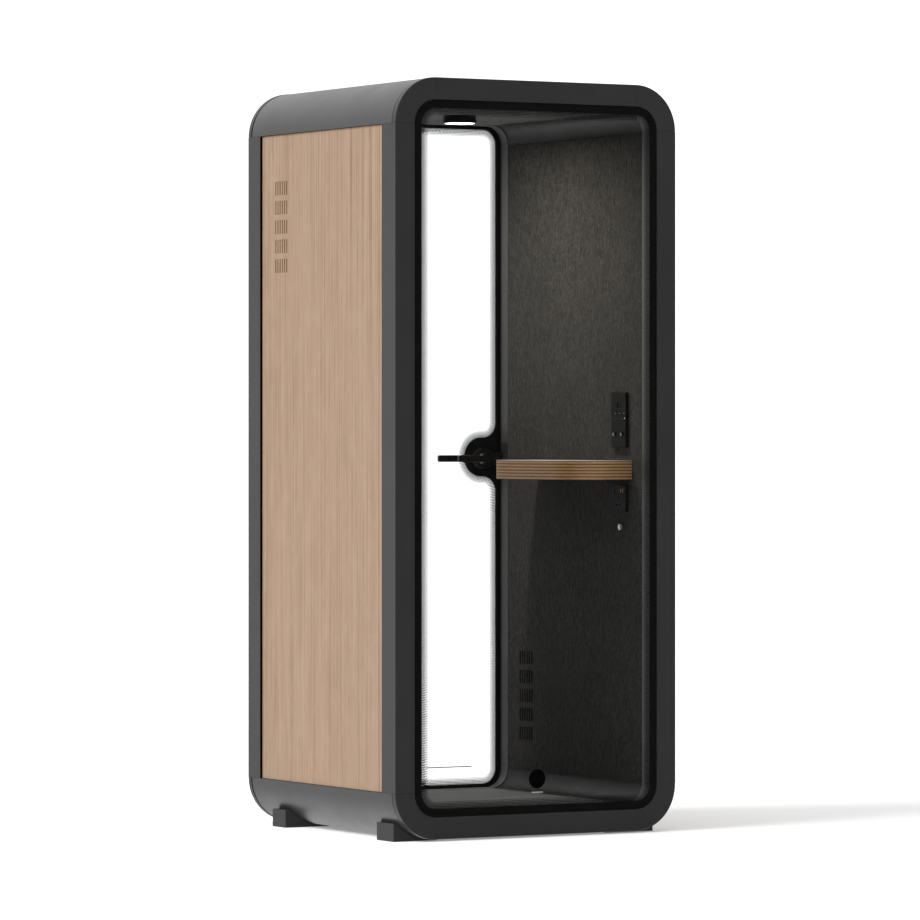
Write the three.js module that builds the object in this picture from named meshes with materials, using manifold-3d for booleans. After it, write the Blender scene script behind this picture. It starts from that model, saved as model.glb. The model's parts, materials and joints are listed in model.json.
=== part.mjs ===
// Acoustic one-person phone booth. Millimetres, +Z up.
// -Y is the fixed glass end, +Y is the door end, and the desk is on the +X wall.
// Pieces are drawn about the middle of the cabin. The whole booth is then moved along Y, so that
// the origin is on the ground under the middle of the envelope, outside lever included.
import * as THREE from 'three';
import * as BufferGeometryUtils from 'three/addons/utils/BufferGeometryUtils.js';
import Module from 'manifold-3d';

const wasm = await Module();
wasm.setup();

// ---------------------------------------------------------------- driving dimensions
const WIDTH = 1000;
const DEPTH = 956;
const FOOT_DROP = 6;
const BODY_HEIGHT = 2314;
const CORNER_RADIUS = 142;
const WALL = 82;
const RING_FACE = 67;
const FRONT_RING_DEPTH = 83;
const REAR_RING_DEPTH = 80.5;
const LIP_DEPTH = 66;
const FRONT_REBATE = 16;
const REAR_REBATE = 25;
const FLANGE_DEPTH = 20;
const PANEL_RECESS = 7;
const PANEL_THICKNESS = 15;
const FELT_THICKNESS = 12;
const LINER_THICKNESS = 3;
const FLOOR_SOFT = 4;
const COVER_OUTSET = 1;
const COVER_THICKNESS = 3;
const GLASS_RECESS = 3;
const GLASS_THICKNESS = 10;
const HANDLE_X = 346;
const HANDLE_Z = 1157;
const DESK_TOP_Z = 1154;
const FITTINGS_Y = -291;

// the gap that a piece keeps to its neighbour, and how finely round shapes are drawn
const GAP = 0.3;
const ARC_STEPS = 8;
const ROUND_STEPS = 20;

// ---------------------------------------------------------------- derived dimensions
const HALF_WIDTH = WIDTH / 2;
const FRONT = -DEPTH / 2;
const REAR = DEPTH / 2;
const BOTTOM = FOOT_DROP;
const TOP = FOOT_DROP + BODY_HEIGHT;
const SEAM_LOW = BOTTOM + CORNER_RADIUS;
const SEAM_HIGH = TOP - CORNER_RADIUS;
const SEAM_X = HALF_WIDTH - CORNER_RADIUS;
const WALL_X = HALF_WIDTH - WALL;
const FELT_BACK = WALL - FELT_THICKNESS;
const LINER_INSET = WALL - FLOOR_SOFT;
const SOFT_END = REAR - LIP_DEPTH - GAP;
const PANEL_FRONT = FRONT + FRONT_RING_DEPTH + GAP;
const PANEL_REAR = REAR - REAR_RING_DEPTH - GAP;

// ---------------------------------------------------------------- materials
function finish(color, roughness, metalness = 0) {
  return new THREE.MeshStandardMaterial({ color, roughness, metalness });
}

const paintGraphite = finish(0x3a3a3c, 0.5);
const paintGrey = finish(0x5a5a5c, 0.4);
const oak = finish(0xc4a894, 0.6);
const felt = finish(0x3c3c38, 0.95);
const coreFoam = finish(0x77756c, 0.95);
const board = finish(0x8f7a5c, 0.85);
const carpetPile = finish(0x4a4a4a, 1.0);
const glass = finish(0xdfe8e6, 0.05);
const rubber = finish(0x0c0c0c, 0.8);
const blackMetal = finish(0x101010, 0.4, 0.6);
const blackPlastic = finish(0x141414, 0.45);
const plywood = finish(0x9a7850, 0.6);
const steel = finish(0xb8babd, 0.3, 1.0);
const diffuserWhite = finish(0xffffff, 0.4);

// ---------------------------------------------------------------- solids
function solidOf(geometry) {
  const bare = geometry.clone();
  bare.deleteAttribute('normal');
  bare.deleteAttribute('uv');
  const merged = BufferGeometryUtils.mergeVertices(bare, 1e-4);
  const mesh = new wasm.Mesh({
    numProp: 3,
    vertProperties: new Float32Array(merged.attributes.position.array),
    triVerts: new Uint32Array(merged.index.array),
  });
  return new wasm.Manifold(mesh);
}

function geometryOf(solid) {
  const mesh = solid.getMesh();
  const geometry = new THREE.BufferGeometry();
  geometry.setAttribute('position', new THREE.BufferAttribute(mesh.vertProperties, 3));
  geometry.setIndex(new THREE.BufferAttribute(mesh.triVerts, 1));
  return geometry;
}

function joined(solids) {
  return solids.reduce((sum, solid) => sum.add(solid));
}

function cut(solid, cutters) {
  return cutters.reduce((rest, cutter) => rest.subtract(cutter), solid);
}

// A box from its low and high corner.
function block(x0, x1, y0, y1, z0, z1) {
  const geometry = new THREE.BoxGeometry(x1 - x0, y1 - y0, z1 - z0);
  geometry.translate((x0 + x1) / 2, (y0 + y1) / 2, (z0 + z1) / 2);
  return solidOf(geometry);
}

// A box from its centre and its full widths.
function centredBlock(centre, size) {
  const geometry = new THREE.BoxGeometry(size[0], size[1], size[2]);
  geometry.translate(centre[0], centre[1], centre[2]);
  return solidOf(geometry);
}

// Turns a shape drawn in a plane into a prism along Y, from y0 to y1. Shape x is X, shape y is Z.
function prismAlongY(shape, y0, y1, steps = ARC_STEPS) {
  const options = { depth: y1 - y0, bevelEnabled: false, curveSegments: steps };
  const geometry = new THREE.ExtrudeGeometry(shape, options);
  geometry.rotateX(Math.PI / 2);
  geometry.translate(0, y1, 0);
  return solidOf(geometry);
}

function prismAlongZ(shape, z0, z1, steps = ARC_STEPS) {
  const options = { depth: z1 - z0, bevelEnabled: false, curveSegments: steps };
  const geometry = new THREE.ExtrudeGeometry(shape, options);
  geometry.translate(0, 0, z0);
  return solidOf(geometry);
}

// A round bar: axis is 'x', 'y' or 'z', and centre gives the other two coordinates in order.
function rod(axis, centre, radius, from, to, steps = ROUND_STEPS) {
  const geometry = new THREE.CylinderGeometry(radius, radius, to - from, steps);
  const middle = (from + to) / 2;
  if (axis === 'x') {
    geometry.rotateZ(Math.PI / 2);
    geometry.translate(middle, centre[0], centre[1]);
  } else if (axis === 'y') {
    geometry.translate(centre[0], middle, centre[1]);
  } else {
    geometry.rotateX(Math.PI / 2);
    geometry.translate(centre[0], centre[1], middle);
  }
  return solidOf(geometry);
}

// ---------------------------------------------------------------- the booth's outline
// A rounded rectangle inside the body's end view: inset from the sides and from top and bottom.
function outline(sideInset, endInset = sideInset, radius = CORNER_RADIUS - sideInset) {
  const x = HALF_WIDTH - sideInset;
  const low = BOTTOM + endInset;
  const high = TOP - endInset;
  const shape = new THREE.Shape();
  shape.moveTo(x, low + radius);
  shape.lineTo(x, high - radius);
  shape.absarc(x - radius, high - radius, radius, 0, Math.PI / 2);
  shape.lineTo(-x + radius, high);
  shape.absarc(-x + radius, high - radius, radius, Math.PI / 2, Math.PI);
  shape.lineTo(-x, low + radius);
  shape.absarc(-x + radius, low + radius, radius, Math.PI, Math.PI * 1.5);
  shape.lineTo(x - radius, low);
  shape.absarc(x - radius, low + radius, radius, Math.PI * 1.5, Math.PI * 2);
  return shape;
}

function band(outer, inner, y0, y1) {
  return prismAlongY(outer, y0, y1).subtract(prismAlongY(inner, y0 - 1, y1 + 1));
}

// A ring built of layers [outer inset, inner inset, depth from, depth to], counted from the
// end face inwards. end is -1 for the front ring and +1 for the rear ring.
function ring(layers, end) {
  const bands = layers.map(([outer, inner, from, to]) => {
    const face = end * REAR;
    const y0 = Math.min(face - end * from, face - end * to);
    const y1 = Math.max(face - end * from, face - end * to);
    return band(outline(outer), outline(inner), y0, y1);
  });
  return joined(bands);
}

const WEB = 6;
const POST_SKIN = 10;
const CHANNEL_INNER = 62;
const UNDER_COVER = COVER_OUTSET + COVER_THICKNESS + GAP;

// Straight posts: an open channel with the glass rebate, the cabin lip and the felt's seat.
function postRing(end, rebate, depth) {
  return ring([
    [0, RING_FACE, 0, rebate],
    [0, WALL, rebate, rebate + WEB],
    [0, POST_SKIN, rebate + WEB, depth],
    [CHANNEL_INNER, WALL, rebate + WEB, LIP_DEPTH],
    [CHANNEL_INNER, FELT_BACK - GAP, LIP_DEPTH, depth],
  ], end);
}

// Corners and rails: the same channel behind a raised flange, with a seat for the covers.
function archRing(end, rebate, depth) {
  const linerSeat = LINER_INSET - LINER_THICKNESS - GAP;
  const layers = [
    [0, RING_FACE, 0, FLANGE_DEPTH],
    [UNDER_COVER, WALL, rebate, rebate + WEB],
    [UNDER_COVER, POST_SKIN + UNDER_COVER, rebate + WEB, depth],
    [CHANNEL_INNER, WALL, rebate + WEB, LIP_DEPTH],
    [CHANNEL_INNER, linerSeat, LIP_DEPTH, depth],
  ];
  if (rebate > FLANGE_DEPTH) {
    layers.push([UNDER_COVER, RING_FACE, FLANGE_DEPTH, rebate]);
  }
  return ring(layers, end);
}

const REACH = 2000;
const aboveSeam = block(-REACH, REACH, -REACH, REACH, SEAM_HIGH + GAP, TOP + REACH);
const belowSeam = block(-REACH, REACH, -REACH, REACH, -REACH, SEAM_LOW - GAP);
const betweenSeams = block(-REACH, REACH, -REACH, REACH, SEAM_LOW + GAP, SEAM_HIGH - GAP);
const leftOfSeam = block(-REACH, -SEAM_X - GAP, -REACH, REACH, -REACH, TOP + REACH);
const rightOfSeam = block(SEAM_X + GAP, REACH, -REACH, REACH, -REACH, TOP + REACH);
const betweenSeamsX = block(-SEAM_X + GAP, SEAM_X - GAP, -REACH, REACH, -REACH, TOP + REACH);

function within(solid, regions) {
  return regions.reduce((rest, region) => rest.intersect(region), solid);
}

// ---------------------------------------------------------------- the scene graph
const booth = new THREE.Group();

function place(parent, name, solid, material) {
  const mesh = new THREE.Mesh(geometryOf(solid), material);
  mesh.name = name;
  parent.add(mesh);
  return mesh;
}

// ---------------------------------------------------------------- latch and strike sizes
const LATCH_Y = 450;
const BOLT_DEPTH = 12;
const BOLT_HEIGHT = 18;
const BOLT_TIP = 429;
const BOLT_TAIL = HANDLE_X + 26;
const BOLT_TRAVEL = 14;
const STRIKE_HALF_HEIGHT = 49;
const STRIKE_THICKNESS = 2;
const STRIKE_FRONT = 426;

// The keeper's pocket is open towards the door's swing.
function strikePocket() {
  const opening = REAR - REAR_REBATE + 1;
  const plate = block(
    WALL_X - 1, WALL_X + STRIKE_THICKNESS + GAP, STRIKE_FRONT - GAP, opening,
    HANDLE_Z - STRIKE_HALF_HEIGHT - GAP, HANDLE_Z + STRIKE_HALF_HEIGHT + GAP);
  return plate.add(boltClearance(WALL_X - 1, BOLT_TIP + 3, opening));
}

function boltClearance(x0, x1, y1) {
  const y0 = LATCH_Y - BOLT_DEPTH / 2 - 0.6;
  const half = BOLT_HEIGHT / 2 + 2;
  return block(x0, x1, y0, y1, HANDLE_Z - half, HANDLE_Z + half);
}

// ---------------------------------------------------------------- frame
function addFrameEnd(name, end, rebate, depth) {
  const frame = new THREE.Group();
  const posts = postRing(end, rebate, depth);
  const arch = archRing(end, rebate, depth);
  const rightPost = within(posts, [betweenSeams, rightOfSeam]);
  const rightPostSolid = end > 0 ? rightPost.subtract(strikePocket()) : rightPost;
  place(frame, `${name}_left_post`, within(posts, [betweenSeams, leftOfSeam]), paintGraphite);
  place(frame, `${name}_right_post`, rightPostSolid, paintGraphite);
  for (const [level, half] of [['top', aboveSeam], ['bottom', belowSeam]]) {
    const leftCorner = within(arch, [half, leftOfSeam]);
    const rightCorner = within(arch, [half, rightOfSeam]);
    place(frame, `${name}_${level}_left_corner`, leftCorner, paintGraphite);
    place(frame, `${name}_${level}_right_corner`, rightCorner, paintGraphite);
    place(frame, `${name}_${level}_rail`, within(arch, [half, betweenSeamsX]), paintGraphite);
  }
  booth.add(frame);
}

addFrameEnd('front', -1, FRONT_REBATE, FRONT_RING_DEPTH);
addFrameEnd('rear', 1, REAR_REBATE, REAR_RING_DEPTH);

// ---------------------------------------------------------------- curved covers and liners
const shell = new THREE.Group();
booth.add(shell);

const coverEnd = REAR - FLANGE_DEPTH - GAP;
const coverSheet = band(
  outline(COVER_OUTSET), outline(COVER_OUTSET + COVER_THICKNESS), -coverEnd, coverEnd);
place(shell, 'top_cover', coverSheet.intersect(aboveSeam), paintGraphite);
place(shell, 'bottom_cover', coverSheet.intersect(belowSeam), paintGraphite);

const COVE_RADIUS = CORNER_RADIUS - WALL;
const linerSheet = band(
  outline(WALL - LINER_THICKNESS, LINER_INSET - LINER_THICKNESS, COVE_RADIUS + LINER_THICKNESS),
  outline(WALL, LINER_INSET, COVE_RADIUS), -SOFT_END, SOFT_END);

// ---------------------------------------------------------------- downlight
const LAMP_RADIUS = 51.5;
const LAMP_BOTTOM = 2213;
const LAMP_NECK_RADIUS = 30;
const LAMP_NECK_TOP = 2284;
const LAMP_RIM = 3.2;
const LAMP_RECESS = 6;
const LENS_RADIUS = 47.5;
const LENS_GAP = 0.4;
const CEILING_FELT_LOW = TOP - WALL;
const lampHole = rod('z', [0, 0], LAMP_NECK_RADIUS + 0.5, CEILING_FELT_LOW - 5, LAMP_NECK_TOP + 1);

function turned(profile, steps = 32) {
  const points = profile.map(([radius, height]) => new THREE.Vector2(radius, height));
  const geometry = new THREE.LatheGeometry(points, steps);
  geometry.rotateX(Math.PI / 2);
  return solidOf(geometry);
}

function lampHousing() {
  const ceiling = CEILING_FELT_LOW - GAP;
  const well = LAMP_BOTTOM + LAMP_RECESS;
  return turned([
    [0, well],
    [LAMP_RADIUS - LAMP_RIM, well],
    [LAMP_RADIUS - LAMP_RIM, LAMP_BOTTOM],
    [LAMP_RADIUS, LAMP_BOTTOM],
    [LAMP_RADIUS, ceiling],
    [LAMP_NECK_RADIUS, ceiling],
    [LAMP_NECK_RADIUS, LAMP_NECK_TOP],
    [0, LAMP_NECK_TOP],
  ]);
}

place(shell, 'ceiling_liner', linerSheet.intersect(aboveSeam).subtract(lampHole), paintGrey);
place(shell, 'floor_liner', linerSheet.intersect(belowSeam), paintGrey);
place(shell, 'lamp_housing', lampHousing(), blackPlastic);
place(shell, 'lamp_diffuser', rod(
  'z', [0, 0], LENS_RADIUS, LAMP_BOTTOM + LENS_GAP, LAMP_BOTTOM + LAMP_RECESS - GAP, 32),
diffuserWhite);

// ---------------------------------------------------------------- floor and roof build-up
const SOFT_HALF_WIDTH = SEAM_X - 0.5;
const CORE_HALF_WIDTH = 350;
const CORE_GAP = 0.6;
const carpetTop = BOTTOM + WALL;

place(shell, 'carpet', block(
  -SOFT_HALF_WIDTH, SOFT_HALF_WIDTH, -SOFT_END, SOFT_END,
  carpetTop - FLOOR_SOFT + GAP, carpetTop), carpetPile);
place(shell, 'ceiling_felt', block(
  -SOFT_HALF_WIDTH, SOFT_HALF_WIDTH, -SOFT_END, SOFT_END,
  CEILING_FELT_LOW, CEILING_FELT_LOW + FLOOR_SOFT - GAP).subtract(lampHole), felt);

const coreOuter = COVER_OUTSET + COVER_THICKNESS + CORE_GAP;
const coreInner = LINER_INSET - LINER_THICKNESS - CORE_GAP;
place(shell, 'floor_core', block(
  -CORE_HALF_WIDTH, CORE_HALF_WIDTH, PANEL_FRONT, PANEL_REAR,
  BOTTOM + coreOuter, BOTTOM + coreInner), board);
place(shell, 'roof_core', block(
  -CORE_HALF_WIDTH, CORE_HALF_WIDTH, PANEL_FRONT, PANEL_REAR,
  TOP - coreInner, TOP - coreOuter).subtract(lampHole), coreFoam);

// ---------------------------------------------------------------- ventilation
const VENT_ROWS = 5;
const VENT_ROW_PITCH = 61;
const VENT_HEIGHT = 43;
const VENT_SLOTS = 6;
const VENT_SLOT_PITCH = 14.6;
const VENT_SLOT_WIDTH = 7.3;
const OUTER_VENT = { y: 268, z: 1887.5 };
const INNER_VENT = { y: 296.5, z: 391.5 };
const DUCT = { y0: 221, y1: 342, z0: 238, z1: 2040 };

// Five squares of six upright slots, cut through everything between x0 and x1.
function ventSlots(x0, x1, centre) {
  const slots = [];
  for (let row = 0; row < VENT_ROWS; row += 1) {
    const z = centre.z + (row - (VENT_ROWS - 1) / 2) * VENT_ROW_PITCH;
    for (let column = 0; column < VENT_SLOTS; column += 1) {
      const y = centre.y + (column - (VENT_SLOTS - 1) / 2) * VENT_SLOT_PITCH;
      slots.push(centredBlock([(x0 + x1) / 2, y, z], [x1 - x0, VENT_SLOT_WIDTH, VENT_HEIGHT]));
    }
  }
  return joined(slots);
}

// ---------------------------------------------------------------- fittings on the desk wall
const PLATE_HALF = 43;
const PLATE_PROUD = 11.5;
const BACK_BOX_HALF = 36;
const BACK_BOX_END = WALL_X + 34;
const CONTROL = { z0: 1194, z1: 1367 };
const SOCKET = { z0: 992, z1: 1077 };
const plateFace = WALL_X - PLATE_PROUD;

function fittingBody(range) {
  const plate = block(
    plateFace, WALL_X - GAP, FITTINGS_Y - PLATE_HALF, FITTINGS_Y + PLATE_HALF,
    range.z0, range.z1);
  return plate.add(backBox(range, 0));
}

function backBox(range, clearance) {
  const margin = PLATE_HALF - BACK_BOX_HALF - clearance;
  return block(
    WALL_X - 2, BACK_BOX_END + clearance,
    FITTINGS_Y - BACK_BOX_HALF - clearance, FITTINGS_Y + BACK_BOX_HALF + clearance,
    range.z0 + margin, range.z1 - margin);
}

function recess(y, z, width, height, depth) {
  return centredBlock([plateFace, y, z], [depth * 2, width, height]);
}

const DESK_THICKNESS = 60;
const DESK_EDGE_X = 205;
const DESK_NEAR_Y = -354;
const DESK_FAR_Y = 206;
const DESK_RADIUS = 115;
const BRACKET_RODS_Y = [-200, 50];
const BRACKET_ROD_RADIUS = 8;
const BRACKET_ROD_START = 298;
const BRACKET_ROD_END = WALL_X + 15;
const BRACKET_PLATE = { y0: -250, y1: 100, halfHeight: 25, thickness: 6 };
const bracketZ = DESK_TOP_Z - DESK_THICKNESS / 2;

function bracket(clearance) {
  const rods = BRACKET_RODS_Y.map((y) => rod(
    'x', [y, bracketZ], BRACKET_ROD_RADIUS + clearance, BRACKET_ROD_START - clearance,
    BRACKET_ROD_END));
  const x0 = WALL_X + FELT_THICKNESS + 1;
  const plate = block(
    x0 - clearance, x0 + BRACKET_PLATE.thickness + clearance,
    BRACKET_PLATE.y0 - clearance, BRACKET_PLATE.y1 + clearance,
    bracketZ - BRACKET_PLATE.halfHeight - clearance,
    bracketZ + BRACKET_PLATE.halfHeight + clearance);
  return joined([plate, ...rods]);
}

// The peg's radii, and its heights off the felt: bolt, stem and head.
const PEG = { y: -295, z: 946, bolt: 4, boltLength: 25, stem: 7, headBack: 5, head: 11, proud: 12 };
const pegHole = rod(
  'x', [PEG.y, PEG.z], PEG.bolt + 0.4, WALL_X - 5, WALL_X + PEG.boltLength + 1, 16);

// ---------------------------------------------------------------- side walls
function addWall(name, side) {
  const wall = new THREE.Group();
  const span = (inner, outer) => (side > 0 ? [inner, outer] : [-outer, -inner]);
  const [panel0, panel1] = span(HALF_WIDTH - PANEL_RECESS - PANEL_THICKNESS,
    HALF_WIDTH - PANEL_RECESS);
  const [core0, core1] = span(HALF_WIDTH - FELT_BACK + GAP,
    HALF_WIDTH - PANEL_RECESS - PANEL_THICKNESS - GAP);
  const [felt0, felt1] = span(WALL_X, WALL_X + FELT_THICKNESS);
  const z0 = SEAM_LOW + GAP * 2;
  const z1 = SEAM_HIGH - GAP * 2;

  const panelSolid = block(panel0, panel1, PANEL_FRONT, PANEL_REAR, z0, z1);
  const outerSlots = ventSlots(panel0 - 1, panel1 + 1, OUTER_VENT);
  place(wall, `${name}_side_panel`, panelSolid.subtract(outerSlots), oak);

  const duct = block(core0 - 1, core1 + 1, DUCT.y0, DUCT.y1, DUCT.z0, DUCT.z1);
  const coreCuts = [duct];
  const feltCuts = [ventSlots(felt0 - 1, felt1 + 1, INNER_VENT)];
  if (side > 0) {
    const pockets = [backBox(CONTROL, 1), backBox(SOCKET, 1), bracket(0.5), pegHole];
    coreCuts.push(...pockets);
    feltCuts.push(...pockets);
  }
  const coreSolid = block(core0, core1, PANEL_FRONT, PANEL_REAR, z0, z1);
  place(wall, `${name}_wall_core`, cut(coreSolid, coreCuts), coreFoam);
  const feltSolid = block(felt0, felt1, -SOFT_END, SOFT_END, z0, z1);
  place(wall, `${name}_felt_panel`, cut(feltSolid, feltCuts), felt);
  booth.add(wall);
}

addWall('left', -1);
addWall('right', 1);

// ---------------------------------------------------------------- extractor fan in the left duct
const FAN_SIZE = 92;
const FAN_BORE = 44;
const FAN_X0 = -470;
const FAN_X1 = -445;
const FAN_MIDDLE = (FAN_X0 + FAN_X1) / 2;
const FAN_MOTOR_RADIUS = 18;
const FAN_SPOKE = { depth: 4, width: 6 };
const FAN_HUB_RADIUS = 17;
const FAN_BLADES = 7;
const FAN_BLADE = { thickness: 2, chord: 20, span: 26, middleRadius: 28, pitch: 48 };

function fanHousing() {
  const { depth, width } = FAN_SPOKE;
  const span = FAN_BORE * 2 + 2;
  const frame = centredBlock([FAN_MIDDLE, 0, 0], [FAN_X1 - FAN_X0, FAN_SIZE, FAN_SIZE]);
  const bore = rod('x', [0, 0], FAN_BORE, FAN_X0 - 1, FAN_X1 + 1, 28);
  const motor = rod('x', [0, 0], FAN_MOTOR_RADIUS, FAN_X1 - 5, FAN_X1);
  const upright = centredBlock([FAN_X1 - depth / 2, 0, 0], [depth, width, span]);
  const level = centredBlock([FAN_X1 - depth / 2, 0, 0], [depth, span, width]);
  return joined([frame.subtract(bore), motor, upright, level]);
}

function fanRotor() {
  const parts = [rod('x', [0, 0], FAN_HUB_RADIUS, FAN_X0 + 2, FAN_X1 - 6)];
  for (let index = 0; index < FAN_BLADES; index += 1) {
    const blade = new THREE.BoxGeometry(FAN_BLADE.thickness, FAN_BLADE.chord, FAN_BLADE.span);
    blade.rotateZ(THREE.MathUtils.degToRad(FAN_BLADE.pitch));
    blade.translate(FAN_MIDDLE - 2, 0, FAN_BLADE.middleRadius);
    blade.rotateX((index * Math.PI * 2) / FAN_BLADES);
    parts.push(solidOf(blade));
  }
  return joined(parts);
}

const fan = new THREE.Group();
fan.position.set(0, OUTER_VENT.y, OUTER_VENT.z);
place(fan, 'fan_housing', fanHousing(), blackPlastic);
place(fan, 'fan_rotor', fanRotor(), blackPlastic);
booth.add(fan);

// ---------------------------------------------------------------- fixed front glass
const GLASS_INSET = RING_FACE + 1.5;
const SEAL_OUTER = GLASS_INSET + 1;
const SEAL_INNER = WALL - 2;
const glassBack = GLASS_RECESS + GLASS_THICKNESS;

const front = new THREE.Group();
place(front, 'front_glass', prismAlongY(
  outline(GLASS_INSET), FRONT + GLASS_RECESS, FRONT + glassBack), glass);
place(front, 'front_gasket', band(
  outline(SEAL_OUTER), outline(SEAL_INNER),
  FRONT + glassBack + GAP, FRONT + FRONT_REBATE - GAP), rubber);
booth.add(front);

// ---------------------------------------------------------------- door leaf and its seal
const LOCK_HOLE_RADIUS = 22;
const door = new THREE.Group();
const doorPane = prismAlongY(outline(GLASS_INSET), REAR - glassBack, REAR - GLASS_RECESS);
const lockHole = rod('y', [HANDLE_X, HANDLE_Z], LOCK_HOLE_RADIUS, REAR - 40, REAR + 10);
place(door, 'door_glass', doorPane.subtract(lockHole), glass);

const sealBand = band(
  outline(SEAL_OUTER), outline(SEAL_INNER),
  REAR - REAR_REBATE + GAP, REAR - glassBack - GAP);
place(door, 'door_seal', sealBand.subtract(boltClearance(WALL_X - 5, HALF_WIDTH, REAR)), rubber);

// ---------------------------------------------------------------- lift-off hinges
const HINGE_X = -434;
const HINGE_Y = REAR + 7;
const HINGE_HALF = 50;
const BARREL_RADIUS = 6.5;
const PIN_RADIUS = 3.5;
const PIN_ROOT = 10;
const PIN_END_GAP = 4;
const FRAME_LEAF = { edge: -488, thickness: 4, clearance: 9 };
const DOOR_LEAF = { start: 8, end: 62, thickness: 5, halfHeight: 48 };
const DOOR_ARM = { end: 10, standOff: 3.7, cover: 5 };

function hingeFrameLeaf(z) {
  const plateY0 = REAR + GAP;
  const plateY1 = plateY0 + FRAME_LEAF.thickness;
  const low = z - HINGE_HALF;
  const high = z + HINGE_HALF;
  const split = z - 1;
  const upper = block(
    FRAME_LEAF.edge, HINGE_X - FRAME_LEAF.clearance, plateY0, plateY1, low, high);
  const lower = block(FRAME_LEAF.edge, HINGE_X, plateY0, plateY1, low, split);
  const barrel = rod('z', [HINGE_X, HINGE_Y], BARREL_RADIUS, low, split);
  const pin = rod('z', [HINGE_X, HINGE_Y], PIN_RADIUS, z - PIN_ROOT, high - PIN_END_GAP);
  return joined([upper, lower, barrel, pin]);
}

function hingeDoorLeaf(z) {
  const paneFace = REAR - GLASS_RECESS + GAP;
  const { start, end, thickness, halfHeight } = DOOR_LEAF;
  const high = z + HINGE_HALF;
  const plate = block(
    HINGE_X + start, HINGE_X + end, paneFace, paneFace + thickness, z - halfHeight, z + halfHeight);
  const arm = block(
    HINGE_X, HINGE_X + DOOR_ARM.end, paneFace + DOOR_ARM.standOff, HINGE_Y + DOOR_ARM.cover, z, high);
  const barrel = rod('z', [HINGE_X, HINGE_Y], BARREL_RADIUS, z, high);
  const bore = rod('z', [HINGE_X, HINGE_Y], PIN_RADIUS + 0.1, z - 1, high + 1);
  return joined([plate, arm, barrel]).subtract(bore);
}

const hingeHeights = { upper: 1970, lower: 350 };
for (const [name, z] of Object.entries(hingeHeights)) {
  place(door, `${name}_hinge_frame_leaf`, hingeFrameLeaf(z), blackMetal);
  place(door, `${name}_hinge_door_leaf`, hingeDoorLeaf(z), blackMetal);
}

// ---------------------------------------------------------------- lock, latch and levers
const PANE_INNER = REAR - glassBack;
const PANE_OUTER = REAR - GLASS_RECESS;
const CASE_FRONT = 441;
const CASE_EDGE = 416;
const ROSETTE_RADIUS = 33;
const OUTER_ROSETTE_RADIUS = 26;
const STEP_RADIUS = 20;
const STEP_HEIGHT = 3;
const CASE_HALF_HEIGHT = 20;
const SPINDLE = 8;
const SPINDLE_BORE = 6.3;
const spindleBore = rod('y', [HANDLE_X, HANDLE_Z], SPINDLE_BORE, CASE_FRONT - 10, REAR + 10);

function lockCase() {
  const back = PANE_INNER - GAP;
  const axis = [HANDLE_X, HANDLE_Z];
  const rosette = rod('y', axis, ROSETTE_RADIUS, CASE_FRONT, back, 28);
  const step = rod('y', axis, STEP_RADIUS, CASE_FRONT - STEP_HEIGHT, CASE_FRONT + 1);
  const body = block(
    HANDLE_X, CASE_EDGE, CASE_FRONT, back, HANDLE_Z - CASE_HALF_HEIGHT, HANDLE_Z + CASE_HALF_HEIGHT);
  const neck = rod('y', axis, LOCK_HOLE_RADIUS - 1, back - 1, PANE_OUTER);
  const channel = block(
    BOLT_TAIL - BOLT_TRAVEL, CASE_EDGE + 1,
    LATCH_Y - BOLT_DEPTH / 2 - GAP, LATCH_Y + BOLT_DEPTH / 2 + GAP,
    HANDLE_Z - BOLT_HEIGHT / 2 - GAP, HANDLE_Z + BOLT_HEIGHT / 2 + GAP);
  return cut(joined([rosette, step, body, neck]), [channel, spindleBore]);
}

const leverOutline = new THREE.Shape();
const LEVER_LENGTH = 120;
const LEVER_HALF = 11;
const LEVER_NECK_RADIUS = 9.5;
const LEVER_TIP_RADIUS = 5;
leverOutline.moveTo(HANDLE_X, HANDLE_Z + LEVER_HALF);
leverOutline.lineTo(HANDLE_X - LEVER_LENGTH + LEVER_TIP_RADIUS, HANDLE_Z + LEVER_HALF);
leverOutline.absarc(
  HANDLE_X - LEVER_LENGTH + LEVER_TIP_RADIUS, HANDLE_Z + LEVER_HALF - LEVER_TIP_RADIUS,
  LEVER_TIP_RADIUS, Math.PI / 2, Math.PI);
leverOutline.absarc(
  HANDLE_X - LEVER_LENGTH + LEVER_TIP_RADIUS, HANDLE_Z - LEVER_HALF + LEVER_TIP_RADIUS,
  LEVER_TIP_RADIUS, Math.PI, Math.PI * 1.5);
leverOutline.lineTo(HANDLE_X, HANDLE_Z - LEVER_HALF);
leverOutline.absarc(HANDLE_X, HANDLE_Z, LEVER_HALF, -Math.PI / 2, Math.PI / 2);

const INSIDE_LEVER_Y = 402;
const OUTSIDE_LEVER_Y = 533;
const LEVER_THICKNESS = 12;
const ROSETTE_OUT = REAR + 7;

function insideLever() {
  const half = LEVER_THICKNESS / 2;
  const grip = prismAlongY(leverOutline, INSIDE_LEVER_Y - half, INSIDE_LEVER_Y + half, 5);
  const neckEnd = CASE_FRONT - STEP_HEIGHT - GAP;
  const neck = rod('y', [HANDLE_X, HANDLE_Z], LEVER_NECK_RADIUS, INSIDE_LEVER_Y, neckEnd);
  const spindle = block(
    HANDLE_X - SPINDLE / 2, HANDLE_X + SPINDLE / 2, neckEnd - 1, ROSETTE_OUT + 15,
    HANDLE_Z - SPINDLE / 2, HANDLE_Z + SPINDLE / 2);
  return joined([grip, neck, spindle]);
}

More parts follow.
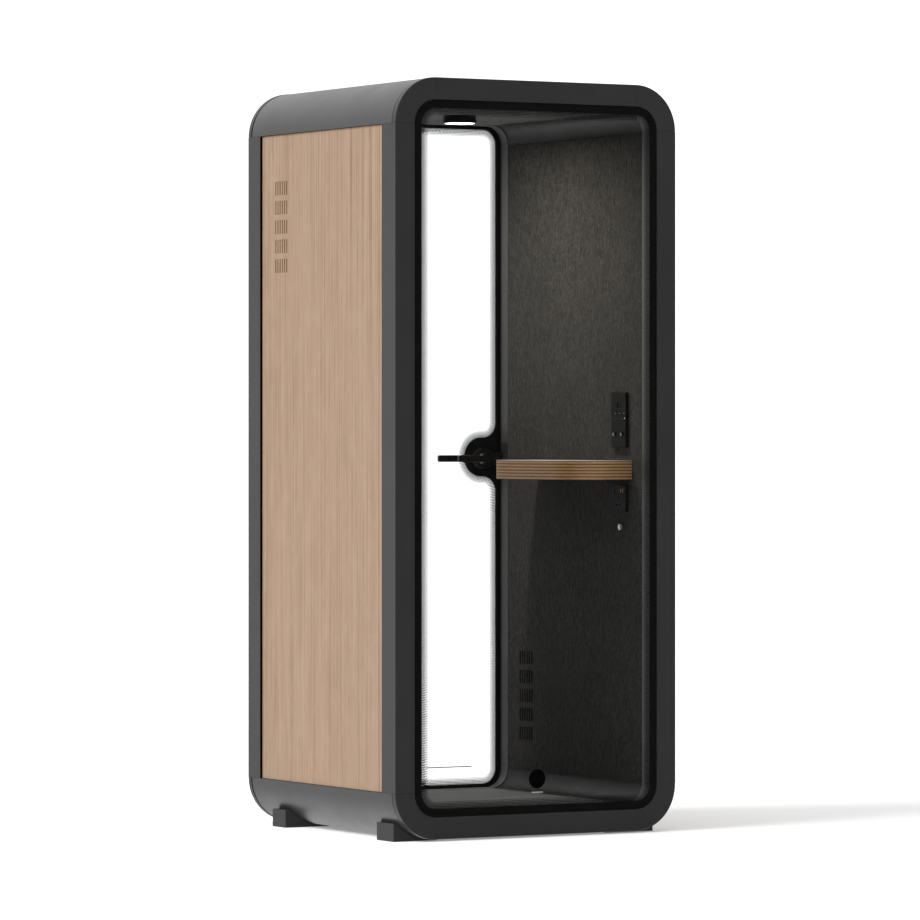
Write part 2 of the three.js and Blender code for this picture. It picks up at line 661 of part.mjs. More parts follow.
function outsideLever() {
  const half = LEVER_THICKNESS / 2;
  const grip = prismAlongY(leverOutline, OUTSIDE_LEVER_Y - half, OUTSIDE_LEVER_Y + half, 5);
  const neck = rod(
    'y', [HANDLE_X, HANDLE_Z], LEVER_NECK_RADIUS, ROSETTE_OUT + GAP, OUTSIDE_LEVER_Y);
  const hole = SPINDLE + 0.6;
  const socket = block(
    HANDLE_X - hole / 2, HANDLE_X + hole / 2, ROSETTE_OUT - 1, ROSETTE_OUT + 15.5,
    HANDLE_Z - hole / 2, HANDLE_Z + hole / 2);
  return grip.add(neck).subtract(socket);
}

function outerRosette() {
  const axis = [HANDLE_X, HANDLE_Z];
  const disc = rod('y', axis, OUTER_ROSETTE_RADIUS, PANE_OUTER + GAP, ROSETTE_OUT, 28);
  return disc.subtract(spindleBore);
}

place(door, 'lock_case', lockCase(), blackMetal);
place(door, 'outer_rosette', outerRosette(), blackMetal);
place(door, 'inside_lever', insideLever(), blackMetal);
place(door, 'outside_lever', outsideLever(), blackMetal);
place(door, 'latch_bolt', block(
  BOLT_TAIL, BOLT_TIP, LATCH_Y - BOLT_DEPTH / 2, LATCH_Y + BOLT_DEPTH / 2,
  HANDLE_Z - BOLT_HEIGHT / 2, HANDLE_Z + BOLT_HEIGHT / 2), steel);
place(door, 'strike_plate', block(
  WALL_X + 0.1, WALL_X + STRIKE_THICKNESS, STRIKE_FRONT, REAR - REAR_REBATE - GAP,
  HANDLE_Z - STRIKE_HALF_HEIGHT, HANDLE_Z + STRIKE_HALF_HEIGHT,
).subtract(boltClearance(WALL_X - 1, WALL_X + 5, REAR)), blackMetal);
booth.add(door);

// ---------------------------------------------------------------- desk
const deskOutline = new THREE.Shape();
deskOutline.moveTo(WALL_X - GAP, DESK_NEAR_Y);
deskOutline.lineTo(WALL_X - GAP, DESK_FAR_Y);
deskOutline.lineTo(DESK_EDGE_X + DESK_RADIUS, DESK_FAR_Y);
deskOutline.absarc(
  DESK_EDGE_X + DESK_RADIUS, DESK_FAR_Y - DESK_RADIUS, DESK_RADIUS, Math.PI / 2, Math.PI);
deskOutline.lineTo(DESK_EDGE_X, DESK_NEAR_Y + DESK_RADIUS);
deskOutline.absarc(
  DESK_EDGE_X + DESK_RADIUS, DESK_NEAR_Y + DESK_RADIUS, DESK_RADIUS, Math.PI, Math.PI * 1.5);

const desk = new THREE.Group();
const deskBoard = prismAlongZ(deskOutline, DESK_TOP_Z - DESK_THICKNESS, DESK_TOP_Z);
place(desk, 'desk_top', deskBoard.subtract(bracket(GAP)), plywood);
place(desk, 'desk_bracket', bracket(0), steel);
booth.add(desk);

// ---------------------------------------------------------------- control panel and knobs
const fittings = new THREE.Group();
const KNOB_Z = 1236;
const KNOB_RADIUS = 6;
const KNOB_PROUD = 5.5;
const KNOB_SHAFT = 3;
const GANG_SEAM_Z = 1280;
const SCREEN = { y: -297, z: 1326.5, width: 28, height: 17, depth: 4 };
const PORT = { z: 1302, width: 10, height: 8, depth: 5, places: [-271, -293, -321] };
const knobPlaces = { left_knob: -268, right_knob: -312 };

function controlPanel() {
  const seam = recess(FITTINGS_Y, GANG_SEAM_Z, PLATE_HALF * 2 + 2, 1, 1);
  const screen = recess(SCREEN.y, SCREEN.z, SCREEN.width, SCREEN.height, SCREEN.depth);
  const ports = PORT.places.map((y) => recess(y, PORT.z, PORT.width, PORT.height, PORT.depth));
  const bores = Object.values(knobPlaces).map((y) => rod(
    'x', [y, KNOB_Z], KNOB_SHAFT + 0.3, plateFace - 1, plateFace + 7, 16));
  return cut(fittingBody(CONTROL), [seam, screen, ...ports, ...bores]);
}

function knob(y) {
  const cap = rod('x', [y, KNOB_Z], KNOB_RADIUS, plateFace - KNOB_PROUD, plateFace - GAP);
  const shaft = rod('x', [y, KNOB_Z], KNOB_SHAFT, plateFace - 2, plateFace + 6, 16);
  return cap.add(shaft);
}

place(fittings, 'control_panel', controlPanel(), blackPlastic);
for (const [name, y] of Object.entries(knobPlaces)) {
  place(fittings, name, knob(y), steel);
}

// ---------------------------------------------------------------- socket unit and its switch
const ROCKER = { y: -266, z: 1059, width: 10, height: 18, thickness: 6 };
const WELL_DEPTH = 8;
const PIN_HOLE_DEPTH = 9;
const EARTH_HOLE = { z: 1038, width: 5, height: 9 };
const POLE_HOLE = { z: 1015, width: 7.5, height: 5, places: [FITTINGS_Y + 11, FITTINGS_Y - 11] };
const rockerX = plateFace + 1.5;

function socketUnit() {
  const well = recess(ROCKER.y, ROCKER.z, ROCKER.width + 1, ROCKER.height + 2, WELL_DEPTH);
  const earth = recess(
    FITTINGS_Y, EARTH_HOLE.z, EARTH_HOLE.width, EARTH_HOLE.height, PIN_HOLE_DEPTH);
  const poles = POLE_HOLE.places.map((y) => recess(
    y, POLE_HOLE.z, POLE_HOLE.width, POLE_HOLE.height, PIN_HOLE_DEPTH));
  return cut(fittingBody(SOCKET), [well, earth, ...poles]);
}

place(fittings, 'socket_unit', socketUnit(), blackPlastic);
place(fittings, 'rocker_switch', centredBlock(
  [rockerX, ROCKER.y, ROCKER.z], [ROCKER.thickness, ROCKER.width, ROCKER.height]), blackPlastic);

// ---------------------------------------------------------------- coat peg
function coatPeg() {
  const profile = [
    [0, -PEG.boltLength],
    [PEG.bolt, -PEG.boltLength],
    [PEG.bolt, GAP],
    [PEG.stem, GAP],
    [PEG.stem, PEG.headBack],
    [PEG.head, PEG.headBack + 1.5],
    [PEG.head, PEG.proud - 2.5],
    [PEG.head * 0.7, PEG.proud - 0.5],
    [0, PEG.proud],
  ];
  const points = profile.map(([radius, height]) => new THREE.Vector2(radius, height));
  const geometry = new THREE.LatheGeometry(points, ROUND_STEPS);
  geometry.rotateZ(Math.PI / 2);
  geometry.translate(WALL_X, PEG.y, PEG.z);
  return solidOf(geometry);
}

place(fittings, 'coat_peg', coatPeg(), steel);
booth.add(fittings);

// ---------------------------------------------------------------- feet
const FOOT_HEIGHT = 55;
const bodyEnvelope = prismAlongY(outline(COVER_OUTSET - GAP), FRONT - 1, REAR + 1);
const feet = new THREE.Group();
// Each foot's x0, x1, y0, y1.
const footPlaces = {
  front_left_foot: [-479, -327, -429, -324],
  front_right_foot: [277, 447, -429, -324],
  rear_left_foot: [-487, -331, 251, 338],
  rear_right_foot: [277, 447, 251, 338],
};
for (const [name, [x0, x1, y0, y1]] of Object.entries(footPlaces)) {
  place(feet, name, block(x0, x1, y0, y1, 0, FOOT_HEIGHT).subtract(bodyEnvelope), rubber);
}
booth.add(feet);

const leverReach = OUTSIDE_LEVER_Y + LEVER_THICKNESS / 2 - REAR;
booth.position.y = -leverReach / 2;

export default booth;
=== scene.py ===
import json
import math

import bmesh
import bpy
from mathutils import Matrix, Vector
from mathutils.geometry import delaunay_2d_cdt


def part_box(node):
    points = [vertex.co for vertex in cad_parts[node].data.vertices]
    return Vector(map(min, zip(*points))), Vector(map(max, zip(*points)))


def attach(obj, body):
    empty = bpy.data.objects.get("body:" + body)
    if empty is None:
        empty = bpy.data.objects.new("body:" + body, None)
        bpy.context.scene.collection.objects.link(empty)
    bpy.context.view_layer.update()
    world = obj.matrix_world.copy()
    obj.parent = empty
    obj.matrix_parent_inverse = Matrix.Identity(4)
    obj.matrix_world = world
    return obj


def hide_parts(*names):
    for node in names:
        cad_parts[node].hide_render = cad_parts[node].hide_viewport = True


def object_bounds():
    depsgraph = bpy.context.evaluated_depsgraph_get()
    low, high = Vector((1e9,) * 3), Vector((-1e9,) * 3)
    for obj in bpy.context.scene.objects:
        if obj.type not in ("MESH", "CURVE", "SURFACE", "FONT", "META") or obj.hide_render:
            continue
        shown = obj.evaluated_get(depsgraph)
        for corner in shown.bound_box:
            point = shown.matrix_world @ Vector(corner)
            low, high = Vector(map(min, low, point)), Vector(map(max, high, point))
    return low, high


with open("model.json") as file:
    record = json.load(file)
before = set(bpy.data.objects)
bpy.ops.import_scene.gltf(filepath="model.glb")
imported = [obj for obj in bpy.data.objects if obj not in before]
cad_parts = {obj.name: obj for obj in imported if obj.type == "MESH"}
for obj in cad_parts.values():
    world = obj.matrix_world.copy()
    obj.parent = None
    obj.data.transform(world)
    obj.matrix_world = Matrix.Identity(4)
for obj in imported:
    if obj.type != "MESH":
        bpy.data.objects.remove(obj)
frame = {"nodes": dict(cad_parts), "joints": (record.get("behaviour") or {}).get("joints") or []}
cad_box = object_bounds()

MM = 0.001
QUARTER = math.pi / 2

# ---- sizes read from the frame
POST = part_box("front_left_post")
REAR_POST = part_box("rear_left_post")
RIGHT_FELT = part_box("right_felt_panel")
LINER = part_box("ceiling_liner")
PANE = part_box("front_glass")
DOOR_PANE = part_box("door_glass")
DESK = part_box("desk_top")
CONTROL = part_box("control_panel")
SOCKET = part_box("socket_unit")
JOINTS = {joint["name"]: joint for joint in frame["joints"]}
HINGE = Vector(JOINTS["door_hinge"]["pos_m"])
HANDLE = Vector(JOINTS["lever_turn"]["pos_m"])

GAP = 0.3 * MM  # left at the joints between neighbouring pieces
HALF_WIDTH = -POST[0].x
WALL = POST[1].x + HALF_WIDTH
FRONT = POST[0].y
REAR = REAR_POST[1].y
SEAM_LOW = POST[0].z - GAP
SEAM_HIGH = POST[1].z + GAP
TOP = cad_box[1].z
RADIUS = TOP - SEAM_HIGH
SEAM_X = HALF_WIDTH - RADIUS
WALL_X = RIGHT_FELT[0].x

# ---- the end frames' cross-section
# Insets are measured from the booth's outline and depths from the end face. WEB and SKIN are
# thicknesses, EDGE and SOFT_EDGE radii.
RING_FACE = 67 * MM
FRONT_REBATE = 16 * MM
REAR_REBATE = 25 * MM
FLANGE = 20 * MM
LIP_DEPTH = 66 * MM
WEB = 6 * MM
SKIN = 10 * MM
CHANNEL = 62 * MM
FELT_SEAT = 69.7 * MM
LINER_SEAT = 74.7 * MM
UNDER_COVER = 4.3 * MM
EDGE = 1.2 * MM
SOFT_EDGE = 2.6 * MM

CORNER_STEPS = 24
LATHE_STEPS = 48


# ---- flat outlines
def arc(centre, radius, start, end, steps):
    """Points on a circle from the start angle to the end angle, both included."""
    angles = [start + (end - start) * step / steps for step in range(steps + 1)]
    return [(centre[0] + radius * math.cos(a), centre[1] + radius * math.sin(a)) for a in angles]


def circle(centre, radius, sides):
    return arc(centre, radius, 0, math.tau * (sides - 1) / sides, sides - 1)


def rounded(corners):
    """A polygon from corners (u, v) and (u, v, radius), the latter rounded by their radius."""
    points = []
    for index, (u, v, radius) in enumerate((*corner, 0.0)[:3] for corner in corners):
        if radius <= 0:
            points.append((u, v))
            continue
        here = Vector((u, v))
        before = (Vector(corners[index - 1][:2]) - here).normalized()
        after = (Vector(corners[(index + 1) % len(corners)][:2]) - here).normalized()
        half = before.angle(after) / 2
        centre = here + (before + after).normalized() * radius / math.sin(half)
        reach = radius / math.tan(half)
        first = here + before * reach - centre
        last = here + after * reach - centre
        start = math.atan2(first.y, first.x)
        turn = (math.atan2(last.y, last.x) - start + math.pi) % math.tau - math.pi
        steps = 2 if radius < 1 * MM else 4 if radius < 8 * MM else CORNER_STEPS
        points += arc(centre, radius, start, start + turn, steps)
    return points


def rectangle(u0, u1, v0, v1, radius=0.0):
    """A rectangle drawn counter-clockwise."""
    return rounded([(u0, v0, radius), (u1, v0, radius), (u1, v1, radius), (u0, v1, radius)])


def around(centre, half):
    """The two ends of a length of twice half about its centre."""
    return centre - half, centre + half


def halfway(low, high, letters):
    """The middle between two corners, along the axes in letters."""
    return tuple((getattr(low, letter) + getattr(high, letter)) / 2 for letter in letters)


def hole(loop):
    """A counter-clockwise loop turned round, so that its material is on its outside."""
    return loop[::-1]


def inset_loop(loop, distance):
    """The loop moved into the material on its left by distance, with mitred corners."""
    moved = []
    for index, point in enumerate(loop):
        here = Vector(point)
        arriving = (here - Vector(loop[index - 1])).normalized()
        leaving = (Vector(loop[(index + 1) % len(loop)]) - here).normalized()
        normals = Vector((-arriving.y, arriving.x)), Vector((-leaving.y, leaving.x))
        mitre = (normals[0] + normals[1]) / (1 + max(normals[0].dot(normals[1]), -0.5))
        moved.append(tuple(here + mitre * distance))
    return moved


# ---- solids: (vertices, faces)
AXES = {"x": (1, 2, 0), "y": (0, 2, 1), "z": (0, 1, 2)}


def spot(axis, u, v, w):
    """The point at (u, v) in the plane across the axis and w along it."""
    point = [0.0, 0.0, 0.0]
    for place, value in zip(AXES[axis], (u, v, w)):
        point[place] = value
    return tuple(point)


def merged(*solids):
    """Several solids as one."""
    vertices, faces = [], []
    for solid_vertices, solid_faces in solids:
        shift = len(vertices)
        vertices += solid_vertices
        faces += [[index + shift for index in face] for face in solid_faces]
    return vertices, faces


def enclosed(point, loops):
    """Whether a point is inside the outline and outside its holes, by counting crossings."""
    crossings = 0
    for loop in loops:
        for (u0, v0), (u1, v1) in zip(loop, loop[1:] + loop[:1]):
            if (v0 > point.y) != (v1 > point.y):
                crossings += u0 + (point.y - v0) * (u1 - u0) / (v1 - v0) > point.x
    return crossings % 2 == 1


def flat_faces(loops):
    """Triangles between the loops, as indices into their points taken in order."""
    points = [Vector(point) for loop in loops for point in loop]
    edges, start = [], 0
    for loop in loops:
        edges += [(start + index, start + (index + 1) % len(loop)) for index in range(len(loop))]
        start += len(loop)
    places, _, triangles, sources, *_ = delaunay_2d_cdt(points, edges, [], 0, 1e-9)
    faces = []
    for triangle in triangles:
        centre = sum((places[index] for index in triangle), Vector((0, 0))) / 3
        if enclosed(centre, loops):
            faces.append([sources[index][0] for index in triangle])
    return faces


def slab(loops, axis, low, high, edge=0.0, steps=3):
    """A plate across the axis with the outline loops[0] and holes loops[1:], its edges rounded."""
    turns = [QUARTER * step / steps for step in range(steps + 1)] if edge > 0 else [QUARTER]
    rim = [(edge * (1 - math.sin(t)), edge * (1 - math.cos(t))) for t in turns]
    levels = [(inset, low + depth) for inset, depth in rim]
    levels += [(inset, high - depth) for inset, depth in reversed(rim)]
    vertices = []
    for inset, height in levels:
        for loop in loops:
            vertices += [spot(axis, u, v, height) for u, v in inset_loop(loop, inset)]
    per_level = sum(len(loop) for loop in loops)
    faces = []
    for level in range(len(levels) - 1):
        start = level * per_level
        for loop in loops:
            for index in range(len(loop)):
                following = (index + 1) % len(loop)
                a, b = start + index, start + following
                faces.append([a, b, b + per_level, a + per_level])
            start += len(loop)
    last = (len(levels) - 1) * per_level
    for triangle in flat_faces([inset_loop(loop, rim[0][0]) for loop in loops]):
        faces.append(triangle)
        faces.append([index + last for index in reversed(triangle)])
    return vertices, faces


def box(axis, u0, u1, v0, v1, low, high, corner=0.0, edge=0.0):
    """A rectangular slab, its upright edges rounded by corner and its rims by edge."""
    return slab([rectangle(u0, u1, v0, v1, corner)], axis, low, high, edge)


def turned(axis, centre, corners, closed=False, steps=LATHE_STEPS):
    """A lathe solid from (radius, height) corners: it ends on its axis, or is a closed ring."""
    vertices, rings = [], []
    for radius, height in rounded(corners):
        count = 1 if radius < 1e-7 else steps
        rings.append((len(vertices), count))
        for index in range(count):
            angle = math.tau * index / steps
            u = centre[0] + radius * math.cos(angle)
            v = centre[1] + radius * math.sin(angle)
            vertices.append(spot(axis, u, v, height))
    pairs = list(zip(rings, rings[1:]))
    if closed:
        pairs.append((rings[-1], rings[0]))
    faces = []
    for (first, count), (second, other_count) in pairs:
        for index in range(steps):
            following = (index + 1) % steps
            face = [first + index % count, first + following % count,
                    second + following % other_count, second + index % other_count]
            faces.append(list(dict.fromkeys(face)))
    return vertices, faces


# ---- sweeps round the booth
def corner(quadrant, trim=0.0, rise=0.0):
    """Stations (x, z, dx, dz) round one corner: quadrant 0 is +X +Z, counted counter-clockwise."""
    x = SEAM_X if quadrant in (0, 3) else -SEAM_X
    z = SEAM_HIGH + rise if quadrant < 2 else SEAM_LOW - rise
    start = quadrant * QUARTER + trim / RADIUS
    end = (quadrant + 1) * QUARTER - trim / RADIUS
    angles = [start + (end - start) * step / CORNER_STEPS for step in range(CORNER_STEPS + 1)]
    return [(x, z, math.cos(a), math.sin(a)) for a in angles]


def loop_stations():
    return [station for quadrant in range(4) for station in corner(quadrant)]


def carried(station, inset):
    """The (x, z) at an inset from the booth's outline, at a station."""
    x, z, dx, dz = station
    return x + dx * (RADIUS - inset), z + dz * (RADIUS - inset)


def sweep(profile, stations, closed=False):
    """A profile of (inset, y) points carried along the stations."""
    vertices, faces = [], []
    for station in stations:
        places = [(carried(station, inset), y) for inset, y in profile]
        vertices += [(x, y, z) for (x, z), y in places]
    count, length = len(profile), len(stations)
    for step in range(length if closed else length - 1):
        here, there = step * count, (step + 1) % length * count
        for index in range(count):
            following = (index + 1) % count
            faces.append([here + index, here + following, there + following, there + index])
    if not closed:
        last = (length - 1) * count
        for triangle in flat_faces([profile]):
            faces.append(triangle)
            faces.append([index + last for index in reversed(triangle)])
    return vertices, faces


def outline(inset):
    """The booth's end view, inset from its outline, counter-clockwise as (x, z)."""
    return [carried(station, inset) for station in loop_stations()]


# ---- pieces
SMOOTH_ANGLE = math.radians(38)


def placed(name, data):
    """A new object in the scene."""
    made = bpy.data.objects.new(name, data)
    bpy.context.scene.collection.objects.link(made)
    return made


def piece(name, solid, finish, node=None, body="shell", flat=False):
    """Makes one named piece that rides on a body. It stands for a CAD node when one is given."""
    material, slot = finish
    mesh = bpy.data.meshes.new(name)
    mesh.from_pydata(solid[0], [], solid[1])
    work = bmesh.new()
    work.from_mesh(mesh)
    bmesh.ops.remove_doubles(work, verts=work.verts, dist=1e-7)
    bmesh.ops.recalc_face_normals(work, faces=work.faces)
    work.to_mesh(mesh)
    work.free()
    made = placed(name, mesh)
    mesh.materials.append(material)
    if not flat:
        mesh.shade_smooth()
        mesh.set_sharp_from_angle(angle=SMOOTH_ANGLE)
        made.modifiers.new("weighted", "WEIGHTED_NORMAL").keep_sharp = True
    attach(made, body)
    if node:
        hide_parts(node)


# ---- material nodes
class Graph:
    """Short calls for building the nodes of one material, or of the world."""

    def __init__(self, name, kind="materials"):
        self.owner = getattr(bpy.data, kind).new(name)
        self.owner.use_nodes = True
        self.tree = self.owner.node_tree
        self.tree.nodes.clear()

    def add(self, kind, inputs=None, **settings):
        node = self.tree.nodes.new("ShaderNode" + kind)
        for key, value in settings.items():
            setattr(node, key, value)
        for key, value in (inputs or {}).items():
            if isinstance(value, bpy.types.NodeSocket):
                self.tree.links.new(value, node.inputs[key])
            else:
                node.inputs[key].default_value = value
        return node

    def place(self, scale):
        """Coordinates scaled by one number, or by three along X, Y and Z."""
        coordinates = self.add("TexCoord").outputs["Object"]
        scale = scale if isinstance(scale, tuple) else (scale,) * 3
        return self.add("Mapping", {"Vector": coordinates, "Scale": scale}).outputs[0]

    def noise(self, scale, detail=3.0, roughness=0.55):
        """Noise between 0 and 1. scale is waves per metre, in all or along X, Y and Z."""
        inputs = {"Vector": self.place(scale), "Scale": 1.0, "Detail": detail,
                  "Roughness": roughness}
        return self.add("TexNoise", inputs).outputs["Fac"]

    def fit(self, value, low, high, to_low=0.0, to_high=1.0):
        inputs = {"Value": value, "From Min": low, "From Max": high,
                  "To Min": to_low, "To Max": to_high}
        return self.add("MapRange", inputs).outputs[0]

    def math(self, operation, a, b=0.0):
        return self.add("Math", {0: a, 1: b}, operation=operation).outputs[0]

    def mix(self, share, a, b):
        a, b = [(*c, 1.0) if isinstance(c, tuple) else c for c in (a, b)]
        return self.add("Mix", {"Factor": share, 6: a, 7: b}, data_type="RGBA").outputs[2]

    def axis(self, letter):
        coordinates = self.add("TexCoord").outputs["Object"]
        return self.add("SeparateXYZ", {"Vector": coordinates}).outputs[letter]

    def bump(self, height, strength, distance):
        inputs = {"Height": height, "Strength": strength, "Distance": distance}
        return self.add("Bump", inputs).outputs[0]

    def surface(self, shader):
        self.add("OutputMaterial", {"Surface": shader})
        return self.owner

    def principled(self, tone, roughness, specular=0.5, metallic=0.0, **inputs):
        inputs.update(Base_Color=tone, Roughness=roughness, Metallic=metallic,
                      Specular_IOR_Level=specular)
        named = {key.replace("_", " "): (*value, 1.0) if isinstance(value, tuple) else value
                 for key, value in inputs.items()}
        return self.surface(self.add("BsdfPrincipled", named).outputs[0])


def grey(value):
    return (value,) * 3


def scaled(colour, share):
    return tuple(channel * share for channel in colour)


def coating(name, colour, roughness, grain=1500.0, strength=0.12, spread=0.06, **more):
    """Paint or moulded plastic: a fine texture, faint cloudiness and uneven gloss."""
    g = Graph(name)
    cloud = g.noise(2.5, 2.0)
    speck = g.noise(grain, 2.0)
    tone = g.mix(g.fit(cloud, 0.3, 0.7), scaled(colour, 1 - spread), scaled(colour, 1 + spread))
    tone = g.mix(g.fit(speck, 0.35, 0.65, 0.0, 0.25), tone, scaled(colour, 1.4))
    gloss = g.fit(g.noise(9.0), 0.3, 0.7, roughness - 0.03, roughness + 0.04)
    return g.principled(tone, gloss, Normal=g.bump(speck, strength, 0.1 * MM), **more)


def oak_veneer():
    """Straight-grained pale veneer: the grain runs up, in soft bands and fine dark lines."""
    g = Graph("oak_veneer")
    pale, mid, deep = (0.255, 0.172, 0.113), (0.216, 0.142, 0.092), (0.115, 0.065, 0.038)
    leaves = g.noise((9.0, 9.0, 0.25), 2.0, 0.5)
    bands = g.noise((30.0, 62.0, 0.45), 3.0, 0.6)
    lines = g.noise((60.0, 210.0, 1.6), 4.0, 0.7)
    pores = g.noise((300.0, 950.0, 16.0), 2.0)
    figure = g.noise((4.0, 16.0, 9.0), 4.0, 0.7)
    rare = g.noise((20.0, 47.0, 0.12), 1.0)
    tone = g.mix(g.fit(bands, 0.32, 0.68, 0.0, 0.6), pale, mid)
    tone = g.mix(g.fit(leaves, 0.42, 0.62, 0.0, 0.3), tone, (0.222, 0.141, 0.088))
    tone = g.mix(g.fit(lines, 0.48, 0.68, 0.0, 0.6), tone, deep)
    tone = g.mix(g.fit(pores, 0.55, 0.75, 0.0, 0.28), tone, deep)
    tone = g.mix(g.fit(rare, 0.655, 0.70, 0.0, 0.5), tone, deep)
    tone = g.mix(g.fit(figure, 0.45, 0.75, 0.0, 0.28), tone, (0.315, 0.226, 0.158))
    low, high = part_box("left_side_panel")
    along = g.axis("Y")
    near_edge = g.math("MINIMUM", g.math("SUBTRACT", along, low.y),
                       g.math("SUBTRACT", high.y, along))
    tone = g.mix(g.fit(near_edge, 0.6 * MM, 5 * MM, 0.6, 0.0), tone, (0.20, 0.105, 0.055))
    height = g.math("ADD", lines, g.math("MULTIPLY", pores, 0.6))
    gloss = g.fit(lines, 0.3, 0.8, 0.50, 0.66)
    return g.principled(tone, gloss, Normal=g.bump(height, 0.25, 0.15 * MM))


def felt_cloth(name, dark, light, streak=(190.0, 190.0, 45.0), speck=420.0):
    """Pressed wool felt: dark and light fibres combed mostly one way."""
    g = Graph(name)
    cloud = g.noise((5.0, 5.0, 2.2), 3.0)
    combed = g.noise(streak, 4.0, 0.75)
    fleck = g.noise(speck, 3.0, 0.75)
    fibre = g.math("ADD", g.math("MULTIPLY", combed, 0.6), g.math("MULTIPLY", fleck, 0.4))
    tone = g.mix(g.fit(fibre, 0.44, 0.58), dark, light)
    tone = g.mix(g.fit(cloud, 0.35, 0.7, 0.0, 0.35), tone, dark)
    wisp = g.noise((330.0, 330.0, 70.0), 2.0, 0.6)
    tone = g.mix(g.fit(wisp, 0.60, 0.70, 0.0, 0.7), tone, scaled(light, 2.2))
    height = g.math("ADD", fleck, combed)
    return g.principled(tone, 0.96, 0.1, Sheen_Weight=0.08, Sheen_Roughness=0.6,
                        Normal=g.bump(height, 0.55, 0.6 * MM))


def carpet_pile():
    """Looped pile: small tufts, dark between them, with paler worn patches."""
    g = Graph("carpet_pile")
    loops = g.add("TexVoronoi", {"Vector": g.place(330.0), "Scale": 1.0})
    tufts = g.noise(150.0, 4.0, 0.7)
    worn = g.noise((6.0, 11.0, 6.0), 3.0)
    tone = g.mix(g.fit(tufts, 0.35, 0.65), (0.040, 0.040, 0.041), (0.225, 0.230, 0.234))
    tone = g.mix(g.fit(loops.outputs["Distance"], 0.2, 0.8, 0.0, 0.45), tone, grey(0.03))
    tone = g.mix(g.fit(worn, 0.35, 0.7, 0.0, 0.3), tone, (0.19, 0.19, 0.186))
    height = g.math("SUBTRACT", tufts, loops.outputs["Distance"])
    return g.principled(tone, 1.0, 0.15, Sheen_Weight=0.2,
                        Normal=g.bump(height, 0.8, 1.5 * MM))


def ply_edge(low, high):
    """Stacked veneers between two heights: pale plies, thin dark cross plies and glue lines."""
    g = Graph("desk_plywood")
    plies = 6
    wander = g.math("MULTIPLY", g.noise((9.0, 9.0, 30.0), 2.0), 1.2 * MM)
    height = g.math("ADD", g.axis("Z"), wander)
    layer = g.math("MULTIPLY", g.math("SUBTRACT", height, low), plies / (high - low))
    share = g.math("FRACT", layer)
    fine = g.noise((120.0, 120.0, 900.0), 4.0, 0.65)
    tone = g.mix(g.fit(fine, 0.35, 0.7), (0.360, 0.196, 0.078), (0.500, 0.300, 0.132))
    dark = g.mix(g.fit(fine, 0.3, 0.7), (0.075, 0.027, 0.010), (0.130, 0.055, 0.022))
    edge = g.math("ABSOLUTE", g.math("SUBTRACT", share, 0.5))
    tone = g.mix(g.fit(edge, 0.27, 0.35), tone, dark)
    patch = g.noise((14.0, 14.0, 60.0), 2.0)
    tone = g.mix(g.fit(patch, 0.5, 0.75, 0.0, 0.35), tone, (0.24, 0.100, 0.038))
    return g.principled(tone, g.fit(fine, 0.3, 0.7, 0.48, 0.62),
                        Normal=g.bump(fine, 0.2, 0.2 * MM))


def rough_board(name, dark, light, scale):
    """Raw board, fibre infill or coarse mesh: chips and strands."""
    g = Graph(name)
    chips = g.noise(scale, 5.0, 0.7)
    tone = g.mix(g.fit(chips, 0.35, 0.65), dark, light)
    return g.principled(tone, 0.92, Normal=g.bump(chips, 0.5, 0.5 * MM))


def brushed_steel():
    """Steel with fine scratches along Y."""
    g = Graph("brushed_steel")
    scratches = g.noise((1400.0, 90.0, 1400.0), 3.0, 0.6)
    tone = g.mix(g.fit(scratches, 0.3, 0.7), (0.46, 0.46, 0.47), (0.66, 0.66, 0.66))
    return g.principled(tone, g.fit(scratches, 0.3, 0.7, 0.2, 0.34), metallic=1.0,
                        Normal=g.bump(scratches, 0.06, 0.05 * MM))


def clear_glass():
    """Flat clear glass that lets the lamps through, with faint marks in its reflection."""
    g = Graph("clear_glass")
    smear = g.noise((3.0, 3.0, 5.0), 4.0, 0.6)
    gloss = g.add("BsdfGlossy", {"Color": (1, 1, 1, 1), "Roughness": 0.0})
    through = g.add("BsdfTransparent", {"Color": (0.982, 0.985, 0.983, 1)})
    mirror = g.add("Fresnel", {"IOR": 1.45})
    share = g.math("MULTIPLY", mirror.outputs[0], g.fit(smear, 0.3, 0.7, 0.42, 0.5))
    mixed = g.add("MixShader", {0: share, 1: through.outputs[0], 2: gloss.outputs[0]})
    return g.surface(mixed.outputs[0])


PINHOLE_PITCH = 4.6 * MM


def black_enamel():
    """Fired black border, with a screen of pin-sized lighter points towards the clear glass."""
    g = Graph("black_enamel")
    x = g.math("DIVIDE", g.axis("X"), PINHOLE_PITCH)
    z = g.math("DIVIDE", g.axis("Z"), PINHOLE_PITCH)
    across = g.math("PINGPONG", g.math("ADD", x, z), 0.5)
    along = g.math("PINGPONG", g.math("SUBTRACT", x, z), 0.5)
    point = g.math("MULTIPLY", across, along)
    cloud = g.noise(30.0, 2.0)
    tone = g.mix(g.fit(point, 0.17, 0.21), (0.0022, 0.0022, 0.0024), grey(0.030))
    tone = g.mix(g.fit(cloud, 0.4, 0.8, 0.0, 0.3), tone, grey(0.004))
    return g.principled(tone, g.fit(cloud, 0.3, 0.7, 0.32, 0.4), 0.15)


def glowing(name, colour, strength, ripple):
    """A lit diffuser whose glow varies a little from place to place."""
    g = Graph(name)
    cells = g.noise(ripple, 1.0)
    glow = g.fit(cells, 0.3, 0.7, strength * 0.92, strength * 1.08)
    return g.principled((0.85, 0.85, 0.83), 0.45, Emission_Color=colour, Emission_Strength=glow)


# ---- finishes: (material, slot)
# CORE_FOAM and BOARD have no slot, as they go on CAD nodes.
LAMINATE = 1.3 * MM

